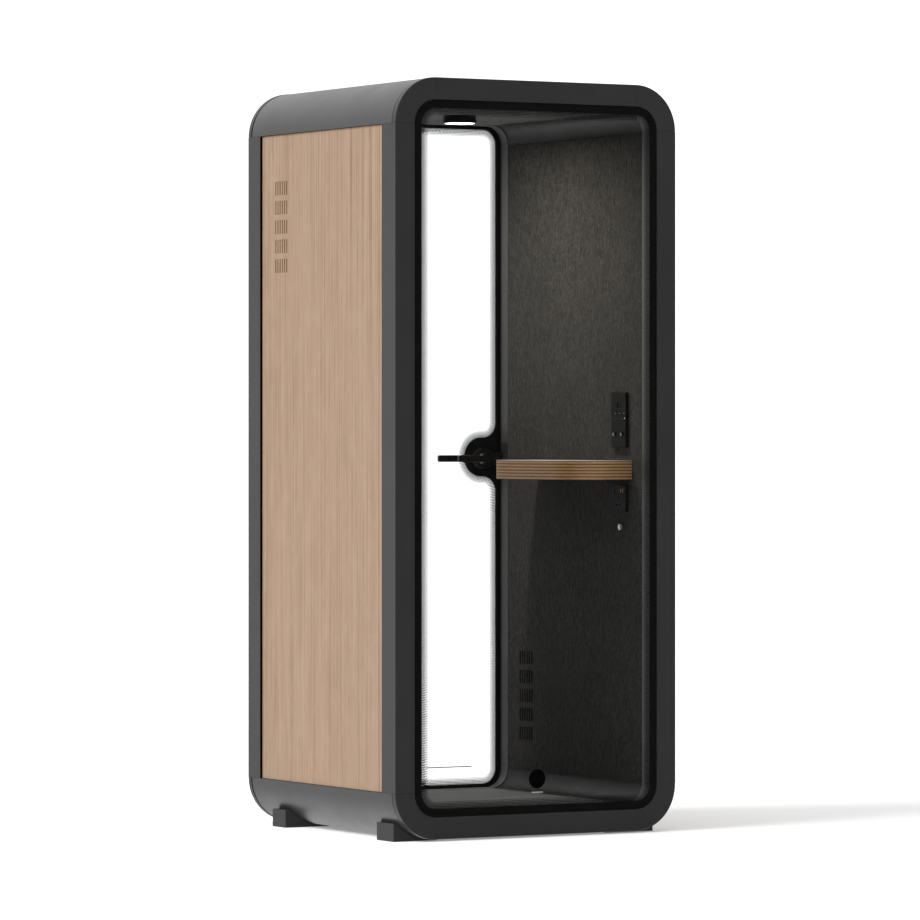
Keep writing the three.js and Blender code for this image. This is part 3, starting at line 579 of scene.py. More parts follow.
FRAME_PAINT = coating("graphite_powder_coat", (0.0225, 0.0225, 0.0228), 0.40,
                      specular=0.4), "graphite_paint"
COVER_PAINT = coating("graphite_cover_paint", (0.0300, 0.0300, 0.0305), 0.38), "graphite_paint"
# Painted light: a paler copy of the graphite frame paint, for the lamp's light falling on the jamb
# lips.
JAMB_PAINTED_LIGHT = coating("jamb_painted_light", (0.0500, 0.0500, 0.0505), 0.40,
                     specular=0.4), "graphite_paint"
LINER_PAINT = coating("grey_liner_paint", (0.0135, 0.0133, 0.0133), 0.40,
                      specular=0.15), "grey_paint"
OAK = oak_veneer(), "oak_veneer"
WALL_FELT = felt_cloth("charcoal_wall_felt", (0.0022, 0.0021, 0.0020),
                       (0.0318, 0.0298, 0.0264)), "wall_felt"
CEILING_FELT = felt_cloth("speckled_ceiling_felt", grey(0.004), (0.190, 0.188, 0.180), 120.0,
                          240.0), "wall_felt"
CARPET = carpet_pile(), "carpet"
PLY = ply_edge(DESK[0].z, DESK[1].z - LAMINATE), "desk_plywood"
LAMINATE_WHITE = coating("pale_laminate", (0.52, 0.52, 0.50), 0.35, 700.0, 0.05,
                         0.02), "desk_plywood"
CORE_FOAM = rough_board("acoustic_fibre", (0.11, 0.105, 0.09), (0.24, 0.23, 0.20), 260.0)
BOARD = rough_board("raw_board", (0.16, 0.11, 0.06), (0.36, 0.27, 0.17), 120.0)
MATTE_BLACK = coating("matte_black", grey(0.0012), 0.9, 1200.0, 0.3, specular=0.0), "black_rubber"
VENT_MESH = rough_board("brown_vent_mesh", (0.12, 0.066, 0.034), (0.21, 0.125, 0.072),
                        900.0), "oak_veneer"
STEEL = brushed_steel(), "bright_steel"
SATIN_NICKEL = coating("satin_nickel", (0.24, 0.235, 0.225), 0.32, 900.0, 0.03,
                       metallic=1.0), "bright_steel"
GLASS = clear_glass(), "clear_glass"
ENAMEL = black_enamel(), "clear_glass"
RUBBER = coating("black_rubber", grey(0.008), 0.75, 500.0, 0.3), "black_rubber"
FOOT_RUBBER = coating("dark_foot_rubber", grey(0.020), 0.62, 420.0, 0.35, 0.1), "black_rubber"
BLACK_METAL = coating("satin_black_metal", (0.0045, 0.0045, 0.0048), 0.34, 1800.0,
                      0.06), "black_metal"
BLACK_PLASTIC = coating("black_plastic", (0.0042, 0.0042, 0.0043), 0.50, 2200.0, 0.15,
                        specular=0.12), "black_plastic"
GLOSS_PLASTIC = coating("black_gloss_plastic", (0.0012, 0.0012, 0.0013), 0.25, 60.0, 0.01,
                        specular=0.05), "black_plastic"
POINTER_BLACK = GLOSS_PLASTIC[0], "bright_steel"
POLISHED_BLACK = coating("polished_black_metal", grey(0.22), 0.22, 900.0, 0.02,
                         metallic=1.0), "black_metal"
BRASS = coating("brass_contact", (0.34, 0.26, 0.13), 0.35, 900.0, 0.05,
                metallic=1.0), "bright_steel"
PALE_PRINT = coating("pale_print", grey(0.30), 0.5, 900.0, 0.02, 0.03), "clear_glass"
PALE_TONGUE = PALE_PRINT[0], "black_plastic"
LAMP_GLOW = glowing("opal_diffuser", (1.0, 0.96, 0.90), 9.0, 60.0), "lamp_white"
LED_GLOW = glowing("indicator_light", (0.8, 1.0, 0.85), 1.2, 400.0), "lamp_white"


# ---- end frames
# The painted light strip on the jambs: its thickness and its margins.
JAMB_LIGHT_STRIP_THICKNESS = 0.6 * MM
LIGHT_STRIP_MARGIN = 1 * MM


def ring_section(face, inward, rebate, depth, flanged):
    """An end frame's cross-section as (inset, y). The arch's is flanged, to seat the covers."""
    seat = LINER_SEAT if flanged else FELT_SEAT
    corners = [
        (0, 0, SOFT_EDGE if flanged else EDGE), (RING_FACE, 0, 0.6 * MM), (RING_FACE, rebate),
        (WALL, rebate, EDGE), (WALL, LIP_DEPTH, EDGE), (seat, LIP_DEPTH), (seat, depth),
        (CHANNEL, depth), (CHANNEL, rebate + WEB)]
    if flanged:
        corners += [
            (UNDER_COVER + SKIN, rebate + WEB), (UNDER_COVER + SKIN, depth), (UNDER_COVER, depth),
            (UNDER_COVER, FLANGE), (0, FLANGE, EDGE)]
    else:
        corners += [(SKIN, rebate + WEB), (SKIN, depth), (0, depth, EDGE)]
    return [(inset, face + inward * y) for inset, y in rounded(corners)]


def end_frame(end, face, inward, rebate, depth):
    """Two posts, four corners and two rails round one end."""
    post, arch = [ring_section(face, inward, rebate, depth, flanged) for flanged in (False, True)]
    members = [
        (f"{side}_post", "profile", post,
         [(x * SEAM_X, z, x, 0.0) for z in (SEAM_LOW + GAP, SEAM_HIGH - GAP)])
        for side, x in (("left", -1), ("right", 1))]
    members += [
        (f"{place}_corner", "casting", arch, corner(quadrant, GAP))
        for quadrant, place in enumerate(("top_right", "top_left", "bottom_left", "bottom_right"))]
    members += [
        (f"{level}_rail", "profile", arch,
         [(x, z, 0.0, direction) for x in around(0.0, SEAM_X - GAP)])
        for level, z, direction in (("top", SEAM_HIGH, 1.0), ("bottom", SEAM_LOW, -1.0))]
    for member, kind, section, stations in members:
        node = f"{end}_{member}"
        piece(f"{node}_{kind}", sweep(section, stations), FRAME_PAINT, node)


def jamb_painted_light_strip(end, face, inward, rebate, stations, closed):
    """A strip of painted light round the inside of an end frame's cabin lip: paler frame paint for
    the lamp's light on the lip.
    """
    near, far = [face + inward * y for y in (rebate + LIGHT_STRIP_MARGIN, LIP_DEPTH - LIGHT_STRIP_MARGIN)]
    strip = [(WALL, near), (WALL + JAMB_LIGHT_STRIP_THICKNESS, near), (WALL + JAMB_LIGHT_STRIP_THICKNESS, far), (WALL, far)]
    piece(f"{end}_jamb_painted_light_strip", sweep(strip, stations, closed), JAMB_PAINTED_LIGHT)


def broken_at_strike():
    """Stations round the booth from just above the strike plate to just below it."""
    low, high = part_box("strike_plate")
    start, end = [(SEAM_X, z, 1.0, 0.0) for z in (high.z + LIGHT_STRIP_MARGIN, low.z - LIGHT_STRIP_MARGIN)]
    return [start] + loop_stations() + [end]


end_frame("front", FRONT, 1, FRONT_REBATE, POST[1].y - FRONT)
end_frame("rear", REAR, -1, REAR_REBATE, REAR - REAR_POST[0].y)
jamb_painted_light_strip("front", FRONT, 1, FRONT_REBATE, loop_stations(), True)
jamb_painted_light_strip("rear", REAR, -1, REAR_REBATE, broken_at_strike(), False)


# ---- covers and liners
SHADOW_GAP = 3.6 * MM
SHEET = 3 * MM


def curved_sheets():
    """The covers outside and the liners inside, each one bent sheet over two corners."""
    low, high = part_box("top_cover")
    outer = HALF_WIDTH - high.x
    near, far = low.y + SHADOW_GAP, high.y - SHADOW_GAP
    skin = rounded([(outer, near, 1.2 * MM), (outer, far, 1.2 * MM), (outer + SHEET, far),
                    (outer + SHEET, near)])
    for name, first, second in (("top", 0, 1), ("bottom", 2, 3)):
        stations = corner(first, GAP)[:-1] + corner(second, GAP)[1:]
        piece(f"{name}_cover_skin", sweep(skin, stations), COVER_PAINT, f"{name}_cover")
    rise = LINER[1].z - SHEET - (TOP - WALL)
    lining = rounded([
        (WALL - SHEET, LINER[0].y), (WALL - SHEET, LINER[1].y), (WALL, LINER[1].y, 1 * MM),
        (WALL, LINER[0].y, 1 * MM)])
    for name, quadrants, z, side in (
            ("ceiling", (0, 1), SEAM_HIGH + GAP, 1.0), ("floor", (2, 3), SEAM_LOW - GAP, -1.0)):
        cove = [station for quadrant in quadrants for station in corner(quadrant, 0.0, rise)]
        first, last = [(sign * SEAM_X, z, sign, 0.0) for sign in (side, -side)]
        piece(f"{name}_liner_skin", sweep(lining, [first] + cove + [last]), LINER_PAINT,
              f"{name}_liner")


curved_sheets()

# ---- walls with their vents
VENT_ROWS = 5
VENT_ROW_PITCH = 61 * MM
VENT_HEIGHT = 43 * MM
VENT_SLOTS = 6
VENT_SLOT_PITCH = 14.6 * MM
VENT_SLOT_WIDTH = 7.3 * MM
BACKING_END = 6 * MM
VENT_MESH_DEPTH = 2.2 * MM
GAUZE_DEPTH = 1.5 * MM
# Painted shade: matte black strips down both upright edges of each veneer panel, where the posts'
# steps shade the recess.
SHADE_STRIP_WIDTH = 2.4 * MM
SHADE_STRIP_RISE = 6 * MM
SHADE_STRIP_SEAT = 0.2 * MM
INNER_VENT_FROM_REAR = 115.2 * MM
INNER_VENT_FROM_BOTTOM = 242.9 * MM


def vent_slots(y, z, corner_radius):
    """Rows of upright slots, one row above another, about a centre in (y, z)."""
    slots = []
    for row in range(VENT_ROWS):
        low = z + (row - (VENT_ROWS - 1) / 2) * VENT_ROW_PITCH - VENT_HEIGHT / 2
        for column in range(VENT_SLOTS):
            left = y + (column - VENT_SLOTS / 2) * VENT_SLOT_PITCH
            left += (VENT_SLOT_PITCH - VENT_SLOT_WIDTH) / 2
            slots.append(rectangle(
                left, left + VENT_SLOT_WIDTH, low, low + VENT_HEIGHT, corner_radius))
    return slots


def slotted_sheet(name, node, slots, edge, finish):
    """A wall sheet as large as its node, with the slots cut through it."""
    low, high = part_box(node)
    loops = [rectangle(low.y, high.y, low.z, high.z)] + [hole(slot) for slot in slots]
    piece(name, slab(loops, "x", low.x, high.x, edge, 2), finish, node)


def slot_backing(name, slots, face, into, depth, finish):
    """Strips that close the slots some depth behind a face. into is the way in along X."""
    levels = sorted((face + into * depth, face + into * BACKING_END))
    piece(name, merged(*[slab([slot], "x", *levels) for slot in slots]), finish)


def wall_panels():
    """Veneer outside and felt inside each wall, with what closes their vents."""
    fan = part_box("fan_housing")
    for side, inward in (("left", 1), ("right", -1)):
        low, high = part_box(f"{side}_side_panel")
        slots = vent_slots(*halfway(*fan, "yz"), 0.8 * MM)
        slotted_sheet(f"{side}_veneered_panel", f"{side}_side_panel", slots, 0.5 * MM, OAK)
        face = low.x if side == "left" else high.x
        # Painted shade strips in the recess beside the posts.
        shade_strip_levels = sorted((face - inward * SHADE_STRIP_RISE, face + inward * SHADE_STRIP_SEAT))
        shade_strips = [box("x", y, y + SHADE_STRIP_WIDTH, low.z, high.z, *shade_strip_levels)
                 for y in (low.y, high.y - SHADE_STRIP_WIDTH)]
        piece(f"{side}_panel_painted_shade_strips", merged(*shade_strips), MATTE_BLACK)
        slot_backing(f"{side}_vent_mesh", slots, face, inward, VENT_MESH_DEPTH, VENT_MESH)
        low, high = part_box(f"{side}_felt_panel")
        slots = vent_slots(high.y - INNER_VENT_FROM_REAR, low.z + INNER_VENT_FROM_BOTTOM, 1.5 * MM)
        slotted_sheet(f"{side}_felt_lining", f"{side}_felt_panel", slots, 0.4 * MM, WALL_FELT)
        face = high.x if side == "left" else low.x
        slot_backing(f"{side}_duct_gauze", slots, face, -inward, GAUZE_DEPTH, MATTE_BLACK)


wall_panels()


# ---- floor, ceiling and downlight
def soft_sheets():
    """The carpet and the felt on the ceiling."""
    for node, name, finish in (("carpet", "carpet_mat", CARPET),
                               ("ceiling_felt", "ceiling_felt_sheet", CEILING_FELT)):
        low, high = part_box(node)
        solid = box("z", low.x, high.x, low.y, high.y, low.z, high.z, 2 * MM, 1 * MM)
        piece(name, solid, finish, node)


def downlight():
    """A flat can with a recessed face, and the slightly domed diffuser in it."""
    low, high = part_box("lamp_housing")
    centre = halfway(low, high, "xy")
    radius = (high.x - low.x) / 2
    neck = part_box("ceiling_felt")[0].z - GAP
    rim, recess = 3.2 * MM, 6 * MM
    body = turned("z", centre, [
        (0, low.z + recess), (radius - rim, low.z + recess), (radius - rim, low.z, 1 * MM),
        (radius, low.z, 1.5 * MM), (radius, neck), (0, neck)])
    piece("downlight_body", body, BLACK_PLASTIC, "lamp_housing")
    low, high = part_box("lamp_diffuser")
    radius = (high.x - low.x) / 2
    lens = turned("z", centre, [
        (0, low.z - 1.2 * MM), (radius * 0.8, low.z - 0.8 * MM, 20 * MM),
        (radius, low.z + 0.6 * MM, 1 * MM), (radius, high.z), (0, high.z)])
    piece("downlight_lens", lens, LAMP_GLOW, "lamp_diffuser")


soft_sheets()
downlight()

# ---- panes, their print and seals
PRINT_CLEARANCE = 0.04 * MM
PRINT_THICKNESS = 0.2 * MM
PRINT_OUTER = 68.6 * MM
PRINT_INNER = 93 * MM
DOT_PITCH = 5.2 * MM
DOT_ROWS = 5
DOT_START = 0.45
DOT_COVER = 0.72
DOT_SIDES = 6
LOBE_RADIUS = 64 * MM
LOBE_FILLET = 47 * MM
LOBE = Vector((HANDLE.x + 8 * MM, 0.0, HANDLE.z + 5 * MM))
SPINDLE_HOLE = 22 * MM
DISC_PLACE = (0.0, 0.179)
DISC_RADIUS = 29.3 * MM
DISC_THICKNESS = 0.4 * MM
BAR_PLACE = (*around(0.0, 20 * MM), 0.1362, 0.1398)
STRIP_PLACE = (0.150, 0.318, 0.1545, 0.1575)
SEAL_NOTCH = 11.2 * MM


def handle_lobe(inset):
    """The print's bulge round the handle: a round lobe joined to the right border by fillets."""
    lobe = LOBE_RADIUS + inset - PRINT_INNER
    fillet = LOBE_FILLET - inset + PRINT_INNER
    fillet_x = HALF_WIDTH - inset - fillet
    across = fillet_x - LOBE.x
    rise = math.sqrt((lobe + fillet) ** 2 - across ** 2)
    lean = math.asin(across / (lobe + fillet))
    below = arc((fillet_x, LOBE.z - rise), fillet, 0, QUARTER + lean, 12)
    round_part = arc((LOBE.x, LOBE.z), lobe, -QUARTER + lean, -3 * QUARTER - lean, 40)
    above = arc((fillet_x, LOBE.z + rise), fillet, -QUARTER - lean, 0, 12)
    return below + round_part[1:-1] + above


def clear_opening(inset, with_lobe):
    """The edge of the clear glass at an inset, counter-clockwise from the lower right corner."""
    lower_right, upper_right, *left = [
        [carried(station, inset) for station in corner(quadrant)] for quadrant in (3, 0, 1, 2)]
    return lower_right + (handle_lobe(inset) if with_lobe else []) + upper_right + sum(left, [])


def spaced(loop, pitch, shift):
    """Points along a closed loop at about the pitch, evenly spaced."""
    ends = list(zip(loop, loop[1:] + loop[:1]))
    lengths = [math.dist(a, b) for a, b in ends]
    count = round(sum(lengths) / pitch)
    step = sum(lengths) / count
    points, walked, wanted = [], 0.0, shift * step
    for (a, b), length in zip(ends, lengths):
        while wanted <= walked + length and len(points) < count:
            share = (wanted - walked) / max(length, 1e-9)
            points.append((a[0] + (b[0] - a[0]) * share, a[1] + (b[1] - a[1]) * share))
            wanted += step
        walked += length
    return points


def print_dot(x, z, radius, low, high):
    """A flat six-sided dot of print."""
    count = DOT_SIDES
    rim = circle((x, z), radius, count)
    vertices = [(u, low, v) for u, v in rim] + [(u, high, v) for u, v in rim]
    faces = [[i, (i + 1) % count, (i + 1) % count + count, i + count] for i in range(count)]
    return vertices, faces + [list(range(count)), list(range(count, 2 * count))]


def enamel_border(low, high, with_lobe):
    """A solid border, then rows of dots that cover less towards the clear glass."""
    border = [outline(PRINT_OUTER), hole(clear_opening(PRINT_INNER, with_lobe))]
    solids = [slab(border, "y", low, high)]
    row_pitch = DOT_PITCH * math.sqrt(3) / 2
    for row in range(DOT_ROWS):
        inset = PRINT_INNER + (row + DOT_START) * row_pitch
        cover = DOT_COVER * (1 - (row / DOT_ROWS) ** 2)
        radius = DOT_PITCH * math.sqrt(cover / 3)
        for x, z in spaced(clear_opening(inset, with_lobe), DOT_PITCH, 0.5 * (row % 2)):
            solids.append(print_dot(x, z, radius, low, high))
    return merged(*solids)


def pane_pieces():
    """Both panes with their border print, and the plain marks in place of the maker's."""
    edge = outline(PANE[0].x + HALF_WIDTH)
    piece("front_pane", slab([edge], "y", PANE[0].y, PANE[1].y, 1 * MM, 2), GLASS, "front_glass")
    spindle_hole = hole(circle((HANDLE.x, HANDLE.z), SPINDLE_HOLE, 32))
    leaf = slab([edge, spindle_hole], "y", DOOR_PANE[0].y, DOOR_PANE[1].y, 1 * MM, 2)
    piece("door_pane", leaf, GLASS, "door_glass", "door")
    face = PANE[0].y - PRINT_CLEARANCE
    levels = face - PRINT_THICKNESS, face
    piece("front_pane_enamel", enamel_border(*levels, False), ENAMEL, flat=True)
    disc = turned("y", DISC_PLACE, [
        (0, face), (DISC_RADIUS, face), (DISC_RADIUS, face - DISC_THICKNESS),
        (0, face - DISC_THICKNESS)])
    piece("front_pane_disc", disc, GLOSS_PLASTIC)
    piece("front_pane_bar", box("y", *BAR_PLACE, *levels, 1.5 * MM), PALE_PRINT)
    face = DOOR_PANE[1].y + PRINT_CLEARANCE
    levels = face, face + PRINT_THICKNESS
    piece("door_pane_enamel", enamel_border(*levels, True), ENAMEL, body="door", flat=True)
    piece("door_pane_strip", box("y", *STRIP_PLACE, *levels, 1.2 * MM), ENAMEL, body="door")


def seal_pieces():
    """The front gasket all round, and the door's seal, which stops at the latch."""
    above, below = [(SEAM_X, z, 1.0, 0.0) for z in (HANDLE.z + SEAL_NOTCH, HANDLE.z - SEAL_NOTCH)]
    for node, name, stations, closed in (
            ("front_gasket", "front_pane_gasket", loop_stations(), True),
            ("door_seal", "door_bulb_seal", [above] + loop_stations() + [below], False)):
        low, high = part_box(node)
        outer, inner = HALF_WIDTH - high.x, WALL - 2 * MM
        section = rounded([(outer, low.y, 1 * MM), (outer, high.y, 1 * MM),
                           (inner, high.y, 2 * MM), (inner, low.y, 2 * MM)])
        piece(name, sweep(section, stations, closed), RUBBER, node)


pane_pieces()
seal_pieces()

# ---- desk
DESK_CORNER = 115 * MM
LAMINATE_SHRINK = 0.15 * MM
GLUE_LINE = 0.05 * MM


def desk():
    """A plywood board with a laminate top, its two free corners rounded."""
    low, high = DESK

    def plan(shrink):
        near, far, end = low.y + shrink, high.y - shrink, low.x + shrink
        return rounded([(end, near, DESK_CORNER), (high.x, near), (high.x, far),
                        (end, far, DESK_CORNER)])

    seam = high.z - LAMINATE
    piece("desk_ply_board", slab([plan(0.0)], "z", low.z, seam, 0.8 * MM), PLY, "desk_top")
    top = slab([plan(LAMINATE_SHRINK)], "z", seam + GLUE_LINE, high.z, 0.4 * MM)
    piece("desk_laminate", top, LAMINATE_WHITE, "desk_top")


desk()

# ---- wiring plates, knobs and peg
# Places on the plates are (y, z), windows (y0, y1, z0, z1), depths measured from the plate's face.
PLATE_EDGE = 1.6 * MM
PLATE_CORNER = 2.5 * MM
PLATE_RISE = 8 * MM
FLOOR_MARGIN = 3 * MM
GANG_SEAM = 1.280
SCREEN_DEPTH = 3.5 * MM
SCREEN = (-0.3415, -0.3135, 1.318, 1.335)
PORT_Z = 1.302
PORT_PLACES = (-0.3015, -0.3235, -0.3515)
INDICATOR = (-0.3585, 1.286)
INDICATOR_RADIUS = 1.3 * MM
SOCKET_WELL = 6.5 * MM
EARTH_HEIGHTS = (1.0335, 1.0425)
PIN_HEIGHTS = (1.0125, 1.0175)
PIN_SPREAD = 11 * MM
CLIP_PLACES = (14 * MM, 26 * MM)
PEG_NECK = 7 * MM
PEG_SCREW = 4 * MM


def plate(name, body_box, z0, z1, windows, well, node):
    """A wiring plate on the felt. Its windows look down on a dark floor, well deep."""
    low, high = body_box
    back = low.x + PLATE_RISE
    loops = [rectangle(low.y, high.y, z0, z1, PLATE_CORNER)]
    loops += [hole(rectangle(*window, 0.8 * MM)) for window in windows]
    shell = slab(loops, "x", low.x, back, PLATE_EDGE if not windows else 0.5 * MM)
    block = box("x", low.y + MM, high.y - MM, z0 + MM, z1 - MM, back, WALL_X - GAP)
    piece(name, merged(shell, block), BLACK_PLASTIC, node)
    if windows:
        floor = box("x", low.y + FLOOR_MARGIN, high.y - FLOOR_MARGIN, z0 + FLOOR_MARGIN,
                    z1 - FLOOR_MARGIN, low.x + well, back - 0.1 * MM)
        piece(name + "_floor", floor, GLOSS_PLASTIC, node)


def control_panel():
    """Upper gang with a small screen and three ports, and the plain lower gang for the knobs."""
    low, high = CONTROL
    windows = [SCREEN] + [(*around(y, 5 * MM), *around(PORT_Z, 4 * MM)) for y in PORT_PLACES]
    plate("control_gang_upper", CONTROL, GANG_SEAM + 0.5 * MM, high.z, windows, SCREEN_DEPTH,
          "control_panel")
    plate("control_gang_lower", CONTROL, low.z, GANG_SEAM - 0.5 * MM, [], 0.0, "control_panel")
    floor = low.x + SCREEN_DEPTH
    screen = box("x", SCREEN[0] + MM, SCREEN[1] - MM, SCREEN[2] + MM, SCREEN[3] - MM,
                 low.x + 1.2 * MM, floor, 0.6 * MM, 0.4 * MM)
    piece("control_screen", screen, GLOSS_PLASTIC)
    tongues = [box("x", *around(y, 3.2 * MM), *around(PORT_Z, 1 * MM), low.x + 0.9 * MM, floor,
                   0.0, 0.2 * MM) for y in PORT_PLACES]
    piece("control_port_tongues", merged(*tongues), PALE_TONGUE)
    dome = turned("x", INDICATOR, [
        (0, low.x - 0.5 * MM), (INDICATOR_RADIUS, low.x - 0.3 * MM, 0.6 * MM),
        (INDICATOR_RADIUS, low.x + 1 * MM), (0, low.x + 1 * MM)], steps=20)
    piece("control_indicator", dome, LED_GLOW)


def knobs():
    """Two nickel caps with a pointer line, each in a thin collar on the plate."""
    face = CONTROL[0].x
    for side in ("left", "right"):
        node, body = f"{side}_knob", f"{side}_knob_body"
        low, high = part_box(node)
        y, z = centre = halfway(low, high, "yz")
        radius = (high.z - low.z) / 2
        cap = turned("x", centre, [
            (0, low.x), (radius * 0.85, low.x, 1 * MM), (radius, low.x + 1.4 * MM, 0.8 * MM),
            (radius, face - GAP, 0.3 * MM), (3 * MM, face - GAP), (3 * MM, high.x), (0, high.x)])
        pointer = box("x", *around(y, 0.5 * MM), z + 1.5 * MM, z + 4 * MM, low.x - 0.05 * MM,
                      low.x + 0.5 * MM)
        piece(f"{node}_cap", cap, SATIN_NICKEL, node, body)
        piece(f"{node}_pointer", pointer, POINTER_BLACK, body=body)
        inner, outer = radius + 0.3 * MM, radius + 1.8 * MM
        front, back = face - 1.2 * MM, face + 0.4 * MM
        collar = [(inner, front), (outer, front), (outer, back), (inner, back)]
        piece(f"{node}_collar", turned("x", centre, collar, closed=True), GLOSS_PLASTIC)


def socket_unit():
    """One upright and two level holes under a rocker switch, and two contact clips."""
    low, high = SOCKET
    rocker_low, rocker_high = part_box("rocker_switch")
    middle = (low.y + high.y) / 2
    margin = 0.6 * MM
    well = (rocker_low.y - margin, rocker_high.y + margin, rocker_low.z - margin,
            rocker_high.z + margin)
    earth = (*around(middle, 2.5 * MM), *EARTH_HEIGHTS)
    pins = [(*around(middle + offset, 3.75 * MM), *PIN_HEIGHTS)
            for offset in (-PIN_SPREAD, PIN_SPREAD)]
    plate("socket_plate", SOCKET, low.z, high.z, [well, earth] + pins, SOCKET_WELL, "socket_unit")
    z = (rocker_low.z + rocker_high.z) / 2
    face, back = rocker_low.x + 0.4 * MM, rocker_high.x - MM
    paddle = rounded([
        (face, rocker_low.z, 0.8 * MM), (back, rocker_low.z), (back, rocker_high.z),
        (face, rocker_high.z, 0.8 * MM), (rocker_low.x + 1.3 * MM, z, 3 * MM)])
    piece("rocker_paddle", slab([paddle], "y", rocker_low.y, rocker_high.y, 0.4 * MM),
          GLOSS_PLASTIC, "rocker_switch", "rocker")
    clips = [box("x", *around(middle - offset, 1.2 * MM), *around(z, 6 * MM), low.x - 0.2 * MM,
                 low.x + 0.5 * MM, 0.8 * MM) for offset in CLIP_PLACES]
    piece("socket_contact_clips", merged(*clips), BRASS)


def coat_peg():
    """A turned steel peg: a low dome on a narrower neck."""
    low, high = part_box("coat_peg")
    tip, base = low.x, WALL_X - GAP
    radius = (high.z - low.z) / 2
    peg = turned("x", halfway(low, high, "yz"), [
        (0, tip), (radius * 0.7, tip + 0.4 * MM, 4 * MM), (radius, tip + 2.6 * MM, 2 * MM),
        (radius, tip + 5.8 * MM, 1 * MM), (PEG_NECK, tip + 7 * MM, 1 * MM), (PEG_NECK, base),
        (PEG_SCREW, base), (PEG_SCREW, high.x), (0, high.x)])
    piece("coat_peg_turned", peg, STEEL, "coat_peg")


control_panel()
knobs()
socket_unit()
coat_peg()

# ---- hinges and screws
HINGE_HALF = 50 * MM
HINGE_BARREL = 6.5 * MM
HINGE_PIN = 3.5 * MM
HINGE_BORE = 3.6 * MM
FRAME_LEAF = 4 * MM
DOOR_LEAF = 5 * MM
DOOR_LEAF_HALF = 48 * MM
DOOR_LEAF_START = 8 * MM
ARM_STAND_OFF = 3.7 * MM


def screw(axis, centre, face, radius=3.6 * MM, toward=1.0):
    """A countersunk socket screw head, level with a face that looks along toward."""
    socket, floor = radius * 0.45, face - toward * 1.4 * MM
    top, under = face + toward * 0.25 * MM, face - toward * 1.8 * MM
    return turned(axis, centre, [
        (0, floor), (socket, floor), (socket, top, 0.15 * MM), (radius, top, 0.2 * MM),
        (radius * 0.8, under), (0, under)], steps=24)


def hinge(level):
    """A lift-off hinge: the frame's leaf with its pin, and the door's leaf that hangs on it."""
    frame_low, frame_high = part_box(f"{level}_hinge_frame_leaf")
    z = (frame_low.z + frame_high.z) / 2
    bottom, top = z - HINGE_HALF, z + HINGE_HALF
    split = HINGE.x - 9 * MM
    plate_y = REAR + GAP
    plate_face = plate_y + FRAME_LEAF
    axis_place = (HINGE.x, HINGE.y)
    leaf = rounded([
        (frame_low.x, bottom, 4 * MM), (HINGE.x, bottom), (HINGE.x, z - MM), (split, z - MM),
        (split, top, 2 * MM), (frame_low.x, top, 4 * MM)])
    barrel = turned("z", axis_place, [
        (0, bottom), (HINGE_BARREL, bottom, 1 * MM), (HINGE_BARREL, z - MM, 0.4 * MM),
        (HINGE_PIN, z - MM), (HINGE_PIN, top - 4 * MM, 1 * MM), (0, top - 4 * MM)])
    leaf_plate = slab([leaf], "y", plate_y, plate_face, 0.6 * MM)
    piece(f"{level}_hinge_frame_half", merged(leaf_plate, barrel), BLACK_METAL,
          f"{level}_hinge_frame_leaf")
    x = (frame_low.x + split) / 2
    heads = [screw("y", (x, z + lift), plate_face) for lift in (-35 * MM, 0.0, 35 * MM)]
    piece(f"{level}_hinge_frame_screws", merged(*heads), BLACK_METAL)

    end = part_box(f"{level}_hinge_door_leaf")[1].x
    start = HINGE.x + DOOR_LEAF_START
    pane_face = DOOR_PANE[1].y + GAP
    clamp_face = pane_face + DOOR_LEAF
    clamp = slab([rectangle(start, end, *around(z, DOOR_LEAF_HALF), 4 * MM)], "y", pane_face,
                 clamp_face, 0.8 * MM)
    arm = box("z", HINGE.x + 5 * MM, HINGE.x + 10 * MM, pane_face + ARM_STAND_OFF,
              HINGE.y + 5 * MM, z, top, 0.0, 0.4 * MM)
    ring = turned("z", axis_place, [
        (HINGE_BORE, z), (HINGE_BARREL, z, 0.4 * MM), (HINGE_BARREL, top, 1 * MM),
        (HINGE_BORE, top, 0.4 * MM)], closed=True)
    piece(f"{level}_hinge_door_half", merged(clamp, arm, ring), BLACK_METAL,
          f"{level}_hinge_door_leaf", "door")
    x = (start + end) / 2
    heads = [screw("y", (x, z + lift), clamp_face, 4.5 * MM) for lift in (-25 * MM, 25 * MM)]
    piece(f"{level}_hinge_door_screws", merged(*heads), BLACK_METAL, body="door")


hinge("upper")
hinge("lower")

# ---- lock and levers
LEVER_THICKNESS = 12 * MM
LEVER_NECK = 9.5 * MM
LEVER_FOOT = 11.5 * MM
CASE_STEP = 3 * MM
CASE_HALF = 20 * MM
CASE_NECK = 21 * MM
STRIKE_NOTCH = 11 * MM
LOCK_AXIS = (HANDLE.x, HANDLE.z)


def lever_loop():
    """The grip seen along Y: a flat bar with a round end at the spindle and a soft tip."""
    low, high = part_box("inside_lever")
    half = (high.z - low.z) / 2
    bottom, top = around(HANDLE.z, half)
    tip = rounded([(low.x, top, 5 * MM), (low.x, bottom, 5 * MM), (HANDLE.x, bottom),
                   (HANDLE.x, top)])[:-2]
    return tip + arc(LOCK_AXIS, half, -QUARTER, QUARTER, 16)


def lever(side, start, shoulder, levels):
    """A grip between two levels, on a neck that is wider from its start to its shoulder."""
    middle = sum(levels) / 2
    neck = turned("y", LOCK_AXIS, [
        (0, start), (LEVER_FOOT, start, 0.3 * MM), (LEVER_NECK, shoulder, 2 * MM),
        (LEVER_NECK, middle), (0, middle)])
    grip = slab([lever_loop()], "y", *levels, 2.2 * MM, 4)
    piece(f"{side}_lever_handle", merged(grip, neck), BLACK_METAL, f"{side}_lever", "lever")


